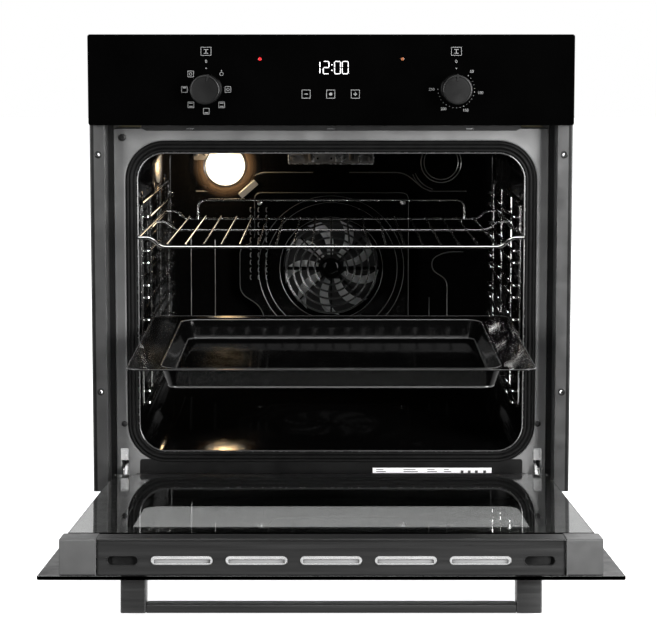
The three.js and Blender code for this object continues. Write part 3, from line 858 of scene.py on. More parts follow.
def embossed_ridges():
    """Bent ridges: the shoulders, the lines beside the fan cover, and the rings of the lamp's blank twin, in
    lighter enamel as painted highlight.
    """
    left, right = ([(side * 202, 365), (side * 142, 365), (side * 110, 393), (side * 27, 393)]
                   for side in (-1, 1))
    notch = [(198, 274), (172, 274), (151, 264), (151, 246), (174, 232), (174, 150)]
    ridges = ((left, 14, 1.0, 10), (right, 14, 1.0, 10), ([(-174, 292), (-174, 150)], 8, 0.8, 8),
              ([(-210, 300), (-210, 120)], 8, 0.8, 8), (notch, 11, 0.9, 10),
              ([(147, 205), (147, 150)], 8, 0.7, 8))
    bm = bmesh.new()
    for points, bend, radius, sides in ridges:
        tube(bm, back_route(points, bend * MM), radius * MM, sides)
    lens = centre_of("lamp_lens")
    blank = (6 * MM - lens.x, lens.z + 5 * MM)
    for radius in (30, 25.5):
        tube(bm, ring_route(*blank, radius * MM), 0.9 * MM, 10, closed=True)
    for radius in (42, 46):
        tube(bm, ring_route(*blank, radius * MM)[36:46], 0.8 * MM, 8)
    # the ridges are drawn in lighter enamel as painted highlight
    piece("rear_embossing", bm, HIGHLIGHT_ENAMEL, "oven_body", "enamel")


def embossing():
    """Pressed shapes in the rear wall, and the shallow round bosses in the side walls."""
    boss = mm((11, 0), (9, 1.1), (6, 1.3), (2, 1.3))
    embossed_ridges()
    bm = bmesh.new()
    # painted highlight: the sloped shoulder is drawn in pale enamel where light catches it
    slope = [Vector((x * MM, BACK_WALL - 1.5 * MM, z * MM)) for x, z in ((-136, 358), (-112, 379))]
    along = (slope[1] - slope[0]).normalized()
    across = Vector((-along.z, 0, along.x)) * 5 * MM
    rings = [[point - across, point + across, point + across * 0.7 - Vector((0, 3 * MM, 0)),
              point - across - Vector((0, 1 * MM, 0))] for point in slope]
    loft(bm, rings, ends=True)
    piece("shoulder_slope", bm, PALE_HIGHLIGHT_ENAMEL, "oven_body", "enamel")
    for name, side in SIDES:
        wall = side * (MOUTH_HIGH.x - GASKET_BAND)
        bm = bmesh.new()
        for z in (118, 250, 384):
            for y in (-200, -40, 120):
                turned(bm, (wall, y * MM, z * MM), boss, 28, Vector((-side, 0, 0)))
        piece(f"wall_bosses_{name}", bm, ENAMEL, "oven_body", "enamel")


FAN_Z = JOINTS["fan_spin"]["pos_m"][2]
GRILLE_RADIUS = 76 * MM
GRILLE_PITCH = 10.6 * MM
GRILLE_RIB = 2.9 * MM
GRILLE_RINGS = 6


def sector(radius_out, radius_in, start, stop):
    """A slot of the fan grille between two radii, counter-clockwise."""
    steps = 8
    turns = [start + (stop - start) * i / steps for i in range(steps + 1)]
    points = [(radius_out * math.cos(a), FAN_Z + radius_out * math.sin(a)) for a in turns]
    return points + [(radius_in * math.cos(a), FAN_Z + radius_in * math.sin(a)) for a in reversed(turns)]


def grille_slots():
    """Rings of slots; the bars between them are wide on the level line and narrow elsewhere."""
    slots = []
    wide, narrow = 5.0 * MM, 2.6 * MM
    for ring in range(GRILLE_RINGS):
        outside = GRILLE_RADIUS - ring * GRILLE_PITCH
        inside = outside - GRILLE_PITCH + GRILLE_RIB
        middle = (outside + inside) / 2
        for part in range(8):
            before = wide if part % 4 == 0 else narrow
            after = wide if part % 4 == 3 else narrow
            first = part * math.pi / 4 + before / 2 / middle
            last = (part + 1) * math.pi / 4 - after / 2 / middle
            if last - first > 0.05:
                slots.append(sector(outside, inside, first, last))
    return slots


def cover_outline():
    """The cover: square at the top, bulging at the left over the perforated field."""
    corners = [(-90, 140), (116, 140), (116, 366), (-115, 366), (-115, 292), (-137, 284), (-137, 214),
               (-106, 194)]
    route = bent([(x * MM, 0, z * MM) for x, z in corners], 13 * MM, 6, closed=True)
    return [(point.x, point.z) for point in route]


def perforation():
    """Small round-cornered holes in three columns, where they clear the grille."""
    half = 3.2 * MM
    spots = [((-117 + 11.8 * column) * MM, (238.5 + 11.2 * row) * MM)
             for column in range(3) for row in range(10)]
    return [rounded(x - half, x + half, z - half, z + half, 1.6 * MM, 3) for x, z in spots
            if math.hypot(x, z - FAN_Z) > 84 * MM]


def fan_cover():
    """The cover in front of the fan: grille, perforated field, skirt, hub and screws."""
    low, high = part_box("fan_cover")
    near = low.y
    outline = cover_outline()
    holes = perforation()
    bm = bmesh.new()
    # painted highlight: only the left half of each hole gets a pale rim, on the side that catches the light
    for hole in holes:
        left_side = [facing_front(u, v, near) for u, v in hole[8:]]
        tube(bm, left_side, 0.55 * MM, 6)
    piece("fan_guard_rims", bm, PALE_HIGHLIGHT_ENAMEL, "oven_body", "enamel")
    # painted highlight: a lighter enamel tube along the cover's edge
    bm = bmesh.new()
    route = [facing_front(u, v, near + 0.8 * MM) for u, v in grown(outline, -1.4 * MM)]
    tube(bm, route, 0.7 * MM, 8, closed=True)
    piece("fan_guard_edge", bm, HIGHLIGHT_ENAMEL, "oven_body", "enamel")
    bm = bmesh.new()
    plate(bm, [grown(outline, -3 * MM), *grille_slots(), *holes], near, near + SHEET, 0.35 * MM)
    skirt = [(-3.4 * MM, near + 0.4 * MM), (-1.2 * MM, near + 1.4 * MM), (0, near + 4 * MM), (0, high.y),
             (-1.2 * MM, high.y), (-1.2 * MM, near + 4 * MM), (-3.4 * MM, near + 1.6 * MM)]
    swept(bm, outline, skirt, facing_front)
    hub = mm((13.5, 0), (13.5, 1.6), (11.5, 3), (6, 3.4), (2, 3.4))
    turned(bm, (0, near + SHEET, FAN_Z), hub, 40)
    piece("fan_guard", bm, ENAMEL, "oven_body", "enamel", "fan_cover")
    guard_beads(near)
    bm = bmesh.new()
    inset = 12 * MM
    for x in (low.x + inset, high.x - inset):
        for z in (low.z + inset, high.z - inset):
            cross_screw(bm, (x, near, z), 4 * MM, 2 * MM)
    piece("fan_guard_screws", bm, BRIGHT, "oven_body", "zinc_sheet")


def guard_beads(near):
    """Rounded edges of the grille rings and the pressed rings round it, drawn in lighter enamel as painted
    highlight.
    """
    bm = bmesh.new()
    radii = [108 * MM, 98 * MM, GRILLE_RADIUS + 0.5 * MM]
    for ring in range(1, GRILLE_RINGS):
        inside = GRILLE_RADIUS - ring * GRILLE_PITCH
        radii += [inside + GRILLE_RIB - 0.6 * MM, inside + 0.6 * MM]
    for radius in radii:
        tube(bm, ring_route(0, FAN_Z, radius, near, 72), 0.45 * MM, 8, closed=True)
    # painted highlight: lighter enamel on the ring edges
    piece("fan_guard_beads", bm, HIGHLIGHT_ENAMEL, "oven_body", "enamel")


def impeller():
    """The fan wheel: a disc painted dark as painted shade between the blades, with bright curved blades,
    drawn a little wider than its CAD solid.
    """
    low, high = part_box("fan_impeller")
    radius = 1.09 * (high.x - low.x) / 2
    disc = JOINTS["fan_spin"]["pos_m"][1] + 6.4 * MM
    bm = bmesh.new()
    dish = [(radius, 0), (radius, 0.8 * MM), (0.93 * radius, 1.5 * MM), (0.35 * radius, 2.4 * MM),
            (0.05 * radius, 2.4 * MM)]
    turned(bm, (0, disc + 1.4 * MM, FAN_Z), dish, 60)
    # painted shade: the disc gets dark paint so that the gaps between the blades read as shaded
    piece("fan_disc", bm, DARK_PAINT, "fan", "zinc_sheet", "fan_impeller")
    bm = bmesh.new()
    blades = 9
    for blade in range(blades):
        start = 2 * math.pi * blade / blades
        rings = []
        for step in range(9):
            t = step / 8
            reach = radius * (0.26 + 0.7 * t)
            angle = start + 0.4 * t * t
            sweep = (0.12 + 0.16 * t) * radius
            outward = Vector((math.cos(angle), 0, math.sin(angle)))
            across = Vector((-math.sin(angle), 0, math.cos(angle)))
            root = outward * reach + Vector((0, disc, FAN_Z))
            crest = root + across * sweep - Vector((0, (10.5 + 1.5 * math.sin(math.pi * t)) * MM, 0))
            rings.append([root, crest, crest + across * 0.6 * MM + Vector((0, 0.9 * MM, 0)),
                          root + across * 1.4 * MM])
        loft(bm, rings, ends=True)
    hub = mm((11.5, 0), (11.5, 11), (9, 13), (2, 13))
    turned(bm, (0, disc, FAN_Z), hub, 32)
    turned(bm, (0, high.y, FAN_Z), [(4 * MM, 0), (4 * MM, high.y - disc)], 20)
    piece("fan_wheel", bm, WHEEL, "fan", "zinc_sheet")


def lamp():
    """The fluted lamp glass, the dished ring round it and the socket behind."""
    low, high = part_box("lamp_lens")
    middle = centre_of("lamp_lens")
    radius = (high.x - low.x) / 2
    dome = [(1, 0), (1, 1.2), (0.95, 3.6), (0.8, 7.4), (0.55, 10.6), (0.3, 12.1), (0.04, 12.5)]
    bm = bmesh.new()
    turned(bm, (middle.x, high.y, middle.z), [(share * radius, rise * MM) for share, rise in dome], 72,
           flutes=36, depth=0.5 * MM)
    piece("lamp_cover", bm, LAMP_GLASS, "oven_body", "lamp_glass", "lamp_lens")
    bm = bmesh.new()
    dish = [(0.9, 0.3), (0.9, 0.6), (4, 2.0), (9, 1.6), (16, 1.0), (24, 0.5), (24, 0.3)]
    section = [(radius + reach * MM, BACK_WALL - rise * MM) for reach, rise in dish]
    dished(bm, middle.x, middle.z, section, 56)
    # the dish carries the painted pool of lamp light round the lens
    piece("lamp_ring", bm, LAMP_DISH, "oven_body", "enamel")
    repaint("lamp_housing", CERAMIC)


def grill_tubes():
    """The two heating loops under the roof and the wire that joins them."""
    low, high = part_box("grill_element")
    radius = 3.3 * MM
    height, entry = high.z - radius, 414 * MM
    front = low.y + radius
    second = front + 36 * MM
    outer, inner, leg = 188 * MM, 150 * MM, 30 * MM
    bm = bmesh.new()
    left = [(-leg, BACK_WALL + 8 * MM, entry), (-leg, BACK_WALL - 18 * MM, entry),
            (-leg, BACK_WALL - leg, height), (-outer, BACK_WALL - leg, height),
            (-outer, front, height)]
    right = [(-x, y, z) for x, y, z in reversed(left)]
    tube(bm, bent(left + right, 24 * MM, 8), radius, 14)
    rear = BACK_WALL - 66 * MM
    loop = [(-inner, second, height), (inner, second, height), (inner, rear, height), (-inner, rear, height)]
    tube(bm, bent(loop, 26 * MM, 8, True), radius, 14, closed=True)
    wire(bm, (0, front, height), (0, second, height), 1.9 * MM, 8)
    piece("grill_tubes", bm, ELEMENT, "oven_body", "zinc_sheet", "grill_element")


def element_plate():
    """The screwed plate where the heating loops enter, its bright rim, and a small plate at the left."""
    half, bottom, top = 64 * MM, 405.5 * MM, 422.5 * MM
    middle = (bottom + top) / 2
    bm = bmesh.new()
    holes = [circle(x * MM, middle, 1.7 * MM, 16) for x in (-20, 0, 20)]
    plate(bm, [rounded(-half, half, bottom, top, 2 * MM, 4), *holes],
          BACK_WALL - 2.4 * MM, BACK_WALL - 0.6 * MM, 0.3 * MM)
    for x in (-57 * MM, 57 * MM):
        cross_screw(bm, (x, BACK_WALL - 2.4 * MM, middle), 4 * MM, 2.4 * MM)
    slab(bm, (-205 * MM, BACK_WALL - 3 * MM, 412 * MM), (-182 * MM, BACK_WALL - 0.2 * MM, 428 * MM), 0.6 * MM)
    for x in (-200 * MM, -187 * MM):
        cross_screw(bm, (x, BACK_WALL - 3 * MM, 420 * MM), 3 * MM, 2 * MM)
    piece("element_plate", bm, ELEMENT, "oven_body", "zinc_sheet")
    bm = bmesh.new()
    inset = 0.5 * MM
    outline = rounded(inset - half, half - inset, bottom + inset, top - inset, 2 * MM, 4)
    tube(bm, [facing_front(u, v, BACK_WALL - 2.6 * MM) for u, v in outline], 0.8 * MM, 8, closed=True)
    for x in (-30, 6, 14, 40):
        slab(bm, (x * MM, BACK_WALL - 3.4 * MM, bottom + 3 * MM),
             ((x + 5) * MM, BACK_WALL - 2.2 * MM, top - 3 * MM))
    piece("element_plate_rim", bm, BRIGHT, "oven_body", "zinc_sheet")


def hidden_parts():
    """What the case and the cavity floor hide keeps its CAD shape and gets a real finish."""
    finishes = {"bottom_element": ELEMENT, "insulation": WOOL, "fan_motor": ZINC, "blower_housing": ZINC,
                "blower_rotor": BRIGHT, "blower_motor": ZINC, "terminal_block": BLACK_PLASTIC,
                "panel_carrier": BLACK_PLASTIC, "display_module": BLACK_PLASTIC,
                "selector_switch": GREY_PLASTIC, "thermostat": GREY_PLASTIC}
    for node, material in finishes.items():
        repaint(node, material)


GUIDE_PAIRS = ((349, 365), (306, 321.5), (261.6, 277), (217, 233), (171, 186.5), (126, 141))


def ladder(name, side):
    """A side ladder: upright wires and pairs of guide wires bent round at both ends."""
    low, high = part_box(f"side_ladder_{name}")
    thick = 1.8 * MM
    wall = (high.x if side > 0 else low.x) - side * thick
    guide = (low.x if side > 0 else high.x) + side * thick
    front, back = low.y + thick, high.y - thick
    bottom, top = low.z + thick, high.z - thick
    bm = bmesh.new()
    route = [(wall, front, bottom), (wall, front, top), (wall, back, top), (wall, back, bottom)]
    tube(bm, bent(route, 9 * MM, 5, True), thick * 1.12, 10, closed=True)
    for share in (0.3, 0.66):
        y = front + share * (back - front)
        wire(bm, (wall, y, bottom), (wall, y, top), thick * 1.12)
    loop = [(wall, front + 1 * MM), (guide, front + 1 * MM), (guide, back - 1 * MM), (wall, back - 1 * MM)]
    for pair in GUIDE_PAIRS:
        for height in pair:
            tube(bm, bent([(x, y, height * MM) for x, y in loop], 6 * MM), thick, 10)
    stud = mm((5, 0), (5, 1.4), (2, 3))
    for z in (bottom + 4 * MM, top - 4 * MM):
        turned(bm, (wall + side * 1.6 * MM, front + 14 * MM, z), stud, 24, Vector((-side, 0, 0)))
    piece(f"ladder_{name}", bm, CHROME, "oven_body", "chrome_wire", f"side_ladder_{name}")


# ---- control panel ----
STROKE = 0.55 * MM


def ink(bm, *contours):
    """A mark on the panel glass; the first contour is its outline and the others are holes."""
    plate(bm, contours, FACE - PRINT, FACE, 0.01 * MM)


def frame_mark(bm, x, z, width, height, stroke=STROKE):
    """A printed box outline."""
    outlines = []
    for inset, radius in ((0, 0.5 * MM), (stroke, 0.2 * MM)):
        u, v = width / 2 - inset, height / 2 - inset
        outlines.append(rounded(x - u, x + u, z - v, z + v, radius, 3))
    ink(bm, *outlines)


def bar_mark(bm, x, z, width, height):
    slab(bm, (x - width / 2, FACE - PRINT, z - height / 2),
         (x + width / 2, FACE, z + height / 2), 0.01 * MM)


def dot_mark(bm, x, z, radius):
    ink(bm, circle(x, z, radius, 16))


def ring_mark(bm, x, z, radius):
    ink(bm, circle(x, z, radius, 20), circle(x, z, radius - STROKE, 20))


def oven_symbol(bm, x, z):
    """The small drawing of an oven over each dial."""
    frame_mark(bm, x, z, 12.8 * MM, 10.4 * MM)
    bar_mark(bm, x, z + 2.2 * MM, 5.4 * MM, 0.7 * MM)
    bar_mark(bm, x, z - 2.4 * MM, 5.4 * MM, 0.7 * MM)
    bar_mark(bm, x, z, 0.8 * MM, 4.2 * MM)


def function_marks(bm, x, z):
    """Seven programme symbols on a circle, with the off position at the top."""
    circle_radius = 26.6 * MM
    box = 7.6 * MM
    inner = 4.6 * MM
    for position in range(1, 8):
        angle = math.radians(90 - 45 * position)
        u, v = x + circle_radius * math.cos(angle), z + circle_radius * math.sin(angle)
        if position == 1:
            ring_mark(bm, u, v, 2.4 * MM)
            bar_mark(bm, u, v + 3.9 * MM, 0.7 * MM, 1.8 * MM)
            continue
        frame_mark(bm, u, v, box, box)
        if position in (2, 7):
            ring_mark(bm, u, v, 1.9 * MM)
        if position in (3, 4, 5):
            bar_mark(bm, u, v - 1.9 * MM, inner, 0.8 * MM)
        if position in (3, 5, 6):
            bar_mark(bm, u, v + 2.0 * MM, inner, 1.4 * MM if position == 6 else 0.8 * MM)


def temperature_marks(bm, x, z):
    """Numbers from 50 to 250 round the second dial, with a dot at every step of ten."""
    dot_radius = 22.4 * MM
    first, last, sweep = 50, 250, 229
    for value in range(first, last + 1, 10):
        angle = math.radians(49 - sweep * (value - first) / (last - first))
        if value % 50 == 0:
            number_radius = (26.5 + 3.5 * abs(math.cos(angle))) * MM
            numerals(bm, str(value), 4.8 * MM, x + number_radius * math.cos(angle),
                     z + number_radius * math.sin(angle))
        dot_mark(bm, x + dot_radius * math.cos(angle), z + dot_radius * math.sin(angle),
                 0.6 * MM if value % 50 == 0 else 0.38 * MM)


SEGMENTS = {"0": "abcdef", "1": "ef", "2": "abged"}


def digit(bm, figure, x, z, half, height):
    """One seven-segment figure."""
    stroke = 1.0 * MM
    gap = 0.35 * MM
    places = {"a": (0, height / 2, True), "g": (0, 0, True), "d": (0, -height / 2, True),
              "f": (-half, height / 4, False), "b": (half, height / 4, False),
              "e": (-half, -height / 4, False), "c": (half, -height / 4, False)}
    for segment in SEGMENTS[figure]:
        u, v, level = places[segment]
        reach = (half if level else height / 4) - gap
        tip = reach - stroke / 2
        points = [(-reach, 0), (-tip, -stroke / 2), (tip, -stroke / 2), (reach, 0), (tip, stroke / 2),
                  (-tip, stroke / 2)]
        if not level:
            points = [(-b, a) for a, b in points]
        ink(bm, [(x + u + a, z + v + b) for a, b in points])


def clock():
    """The lit time display."""
    bm = bmesh.new()
    middle, height = 554.6 * MM, 15 * MM
    for figure, x, half in (("1", -10.3, 3.5), ("2", -6.2, 3.5), ("0", 7.7, 3.6), ("0", 17.2, 3.6)):
        digit(bm, figure, x * MM, middle, half * MM, height)
    for z in (middle + 3.4 * MM, middle - 3.4 * MM):
        dot_mark(bm, 0.9 * MM, z, 0.8 * MM)
    piece("clock_digits", bm, DIGITS, "oven_body", "black_glass")


def touch_keys(bm):
    """The minus, set and plus keys."""
    level = 522.3 * MM
    minus, middle, plus = -30.7 * MM, -0.6 * MM, 29.5 * MM
    for x in (minus, middle, plus):
        frame_mark(bm, x, level, 10.6 * MM, 10.6 * MM, 0.6 * MM)
    bar_mark(bm, minus, level, 4.4 * MM, 1.0 * MM)
    dot_mark(bm, middle, level, 1.9 * MM)
    bar_mark(bm, plus, level, 4.2 * MM, 1.1 * MM)
    bar_mark(bm, plus, level, 1.1 * MM, 4.2 * MM)


def control_panel():
    """The glass with its print, the clock, the two lights and the two knobs."""
    low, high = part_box("panel_glass")
    bm = bmesh.new()
    knobs = {name: JOINTS[f"{name}_turn"]["pos_m"] for name in ("function", "temperature")}
    holes = [circle(place[0], place[2], 5.2 * MM) for place in knobs.values()]
    plate(bm, [rounded(low.x, high.x, low.z, high.z, 3 * MM, 6), *holes], low.y, high.y, 0.5 * MM)
    piece("panel_pane", bm, BLACK_GLASS, "oven_body", "black_glass", "panel_glass")
    bm = bmesh.new()
    for place in knobs.values():
        oven_symbol(bm, place[0], place[2] + 46.4 * MM)
        numerals(bm, "0", 5.4 * MM, place[0], place[2] + 34 * MM)
        dot_mark(bm, place[0], place[2] + 25.6 * MM, 0.7 * MM)
    function_marks(bm, knobs["function"][0], knobs["function"][2])
    temperature_marks(bm, knobs["temperature"][0], knobs["temperature"][2])
    touch_keys(bm)
    piece("panel_print", bm, INK, "oven_body", "black_glass")
    clock()
    panel_light("power_light", RED_LENS, "red_lens")
    panel_light("heating_light", AMBER_LENS, "amber_lens")
    dial("knob_function", "function_knob", knobs["function"], 13)
    dial("knob_temperature", "temperature_knob", knobs["temperature"], 0)


def panel_light(node, material, slot):
    """A stepped lens whose low dome stands just proud of the glass."""
    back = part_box(node)[1].y
    middle = centre_of(node)
    length = back - FACE
    bm = bmesh.new()
    turned(bm, (middle.x, back, middle.z),
           [(4.4 * MM, 0), (4.4 * MM, 5 * MM), (1.9 * MM, 5.2 * MM), (1.9 * MM, length + 0.05 * MM),
            (1.4 * MM, length + 0.25 * MM), (0.3 * MM, length + 0.3 * MM)], 28)
    piece(f"{node}_lens", bm, material, "oven_body", slot, node)


def dial(node, body, place, lean):
    """A round knob: a foot, fine flutes, a broken rim and a raised pointer, turned by lean degrees."""
    low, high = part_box(node)
    radius = (high.x - low.x) / 2
    front = FACE - (high.y - low.y) + 0.8 * MM
    bm = bmesh.new()
    height = high.y - front
    foot = [(0.86, 0), (0.94, 0.6 * MM), (0.955, 3 * MM), (1, 4.2 * MM)]
    crown = [(1, 2.2), (0.985, 1.2), (0.955, 0.35), (0.92, 0.05), (0.87, 0.05), (0.84, 0.7), (0.3, 0.5),
             (0.04, 0.5)]
    levels = foot + [(share, height - drop * MM) for share, drop in crown]
    profile = [(share * radius, level) for share, level in levels]
    turned(bm, (place[0], high.y, place[2]), profile, 180, flutes=60, depth=0.16 * MM)
    piece(f"{node}_grip", bm, KNOB_FINISH, body, "knob_plastic", node)
    bm = bmesh.new()
    slab(bm, (-1.2 * MM, front - 0.7 * MM, 0.56 * radius),
         (1.2 * MM, front + 8 * MM, radius + 0.9 * MM), 0.5 * MM)
    bm.transform(Matrix.Translation((place[0], 0, place[2])) @ Matrix.Rotation(math.radians(lean), 4, "Y"))
    piece(f"{node}_pointer", bm, DARK_PAINT, body, "knob_plastic")


# ---- door ----
def door_piece(name, bm, material, slot, *nodes):
    """A piece drawn with the door shut and turned open with it."""
    bm.transform(DOOR_OPEN)
    piece(name, bm, material, "door", slot, *nodes)


def door_glass():
    """The three panes, with printed borders on the outer and the inner one."""
    panes = (("outer", OUTER_PANE, "door_glass", 3, 0.6), ("middle", MIDDLE_PANE, "clear_glass", 4, 0.4),
             ("inner", INNER_PANE, "clear_glass", 3, 0.5))
    for name, material, slot, corner, edge in panes:
        low, high = closed_box(f"door_{name}_glass")
        bm = bmesh.new()
        plate(bm, [rounded(low.x, high.x, low.z, high.z, corner * MM, 6)], low.y, high.y, edge * MM)
        door_piece(f"{name}_pane", bm, material, slot, f"door_{name}_glass")
        if name == "outer":
            border(low, high, "outer_border", high.y + 0.02 * MM, 70 * MM, 84 * MM, 52 * MM)
        if name == "inner":
            border(low, high, "inner_border", low.y - 0.2 * MM, 44 * MM, 20 * MM, 38 * MM)


def border(low, high, name, near, side, bottom, top):
    """A printed frame on a pane, drawn as a thin film; side, bottom and top are its widths."""
    bm = bmesh.new()
    window = rounded(low.x + side, high.x - side, low.z + bottom, high.z - top, 20 * MM, 8)
    inset = 1.0 * MM
    outline = rounded(low.x + inset, high.x - inset, low.z + inset, high.z - inset, 3 * MM, 4)
    plate(bm, [outline, window], near, near + 0.12 * MM, 0.03 * MM)
    door_piece(name, bm, PRINT_BORDER, "black_glass")


def slot_outline(x, half, near, far):
    """A slot with round ends, given in millimetres along the profile."""
    return rounded((x - half) * MM, (x + half) * MM, near, far, (far - near) / 2 - 0.01 * MM)


def top_profile():
    """The door's upper profile: an end face with long rounded air slots, and a raised inner lip."""
    low, high = closed_box("door_top_profile")
    face = high.z - 3 * MM
    near, far = FACE + 14 * MM, FACE + 23.6 * MM
    long_slots = [(75.6 * place, 31.5) for place in (0, -1, 1, -2, 2)]
    end_slots = [(-211, 15.5), (211, 15.5)]
    slots = long_slots + end_slots
    bm = bmesh.new()
    holes = [slot_outline(x, half, near, far) for x, half in slots]
    outline = rounded(low.x, high.x, low.y, high.y - 0.2 * MM, 0.8 * MM, 3)
    plate(bm, [outline, *holes], face - 1.4 * MM, face, 0.3 * MM, facing_up)
    for wall_near, wall_far in ((low.y, low.y + 1.5 * MM), (high.y - 1.5 * MM, high.y)):
        slab(bm, (low.x, wall_near, low.z), (high.x, wall_far, face - 0.6 * MM), 0.3 * MM)
    slab(bm, (low.x, high.y - 1.9 * MM, face - 1.2 * MM), (high.x, high.y, high.z), 0.35 * MM)
    door_piece("profile_top", bm, PROFILE_ALLOY, "dark_paint", "door_top_profile")
    bm = bmesh.new()
    rim = [(0.7, 0.15), (0.7, 0.35), (0.0, 0.35), (-0.15, 0.1), (-0.15, -4.2), (0.55, -4.2), (0.7, -1.2)]
    for hole in holes:
        swept(bm, hole, [(growth * MM, face + rise * MM) for growth, rise in rim], facing_up)
    door_piece("slot_rims", bm, PROFILE_ALLOY, "dark_paint")
    bm = bmesh.new()
    for x, half in long_slots:
        slab(bm, ((x - half + 3) * MM, near + 1.2 * MM, face - 9 * MM),
             ((x + half - 3) * MM, near + 4.6 * MM, face - 5 * MM))
    door_piece("slot_baffles", bm, BAFFLE, "dark_paint")
    bm = bmesh.new()
    for x, half in end_slots:
        slab(bm, ((x - half - 4) * MM, near - 1 * MM, face - 9 * MM),
             ((x + half + 4) * MM, far + 1 * MM, face - 5 * MM))
    door_piece("end_slot_backs", bm, BLACK_PAINT, "dark_paint")


def door_caps():
    """The corner caps, each with a thin lip against the profile."""
    for name, side in SIDES:
        low, high = closed_box(f"door_cap_{name}")
        bm = bmesh.new()
        outline = rounded(low.y, high.y, low.z, high.z, 2.4 * MM, 6)
        plate(bm, [outline], low.x, high.x, 0.6 * MM, facing_side)
        parting = low.x if side > 0 else high.x
        near, far = sorted((parting, parting + side * 1.2 * MM))
        slab(bm, (near, low.y, high.z - 5 * MM), (far, high.y, high.z), 0.3 * MM)
        door_piece(f"cap_{name}", bm, GREY_PLASTIC, "grey_plastic", f"door_cap_{name}")


def door_frame_parts():
    """The side and bottom profiles and the hinge bodies inside the door."""
    finishes = {"door_side_profile": (BLACK_PAINT, "dark_paint"), "door_hinge": (BRIGHT, "zinc_sheet")}
    for name, _ in SIDES:
        for node, (material, slot) in finishes.items():
            refined(f"{node}_{name}_shape", f"{node}_{name}", material, "door", slot, 0.4 * MM)
    refined("door_bottom_shape", "door_bottom_profile", BLACK_PAINT, "door", "dark_paint", 0.3 * MM)


def handle():
    """The flat bar and its two arms."""
    low, high = closed_box("handle_bar")
    bm = bmesh.new()
    outline = rounded(low.y, high.y, low.z, high.z, 1.6 * MM, 6)
    plate(bm, [outline], low.x, high.x, 0.25 * MM, facing_side)
    door_piece("handle_grip", bm, HANDLE_ALLOY, "anodised", "handle_bar")
    for name, _ in SIDES:
        low, high = closed_box(f"handle_post_{name}")
        bm = bmesh.new()
        outline = rounded(low.x, high.x, low.z, high.z, 1.6 * MM, 6)
        plate(bm, [outline], low.y, high.y, 0.5 * MM)
        door_piece(f"handle_arm_{name}", bm, HANDLE_ALLOY, "anodised", f"handle_post_{name}")


def hinges():
    """The arms, their receivers in the body and the flip-up locking levers."""
    for name, _ in SIDES:
        for shape, node in (("hinge_link", "hinge_arm"), ("hinge_socket", "hinge_receiver")):
            refined(f"{shape}_{name}", f"{node}_{name}", HINGE_ZINC, "oven_body", "zinc_sheet", 0.3 * MM)
        refined(f"latch_lever_{name}", f"hinge_latch_{name}", CHROME, f"latch_{name}", "chrome_wire",
                0.3 * MM)


# ---- what slides in the cavity ----
def rack():
    """The wire shelf: raised wings on both sides, a fence at the back and thin wires from front to back."""
    low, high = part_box("wire_rack")
    edge = high.x - 2.4 * MM
    shelf = 343 * MM
    wing = 354.2 * MM
    straight = 201.7 * MM
    front, back = low.y + 2.2 * MM, high.y - 2.2 * MM
    second = front + 196 * MM
    bm = bmesh.new()
    for y in (front, second, back):
        route = [(-edge, y, wing), (-214 * MM, y, wing), (-straight, y, shelf), (straight, y, shelf),
                 (214 * MM, y, wing), (edge, y, wing)]
        tube(bm, bent(route, 6 * MM, 6), 2.0 * MM if y == front else 1.7 * MM, 12)
    for side in (-1, 1):
        wire(bm, (side * edge, front, wing), (side * edge, back, wing), 2.1 * MM, 12)
    fence = [(-184 * MM, back, shelf), (-184 * MM, back, high.z - 2 * MM), (184 * MM, back, high.z - 2 * MM),
             (184 * MM, back, shelf)]
    tube(bm, bent(fence, 12 * MM, 7), 1.7 * MM, 12)
    rods = 19
    pitch = 21.7 * MM
    for rod in range(rods):
        x = (rod - (rods - 1) / 2) * pitch
        wire(bm, (x, front - 1 * MM, shelf + 2.9 * MM), (x, back, shelf + 2.9 * MM), 1.3 * MM)
    piece("shelf_wires", bm, CHROME, "rack", "chrome_wire", "wire_rack")


TRAY_TILT = math.radians(1.75)


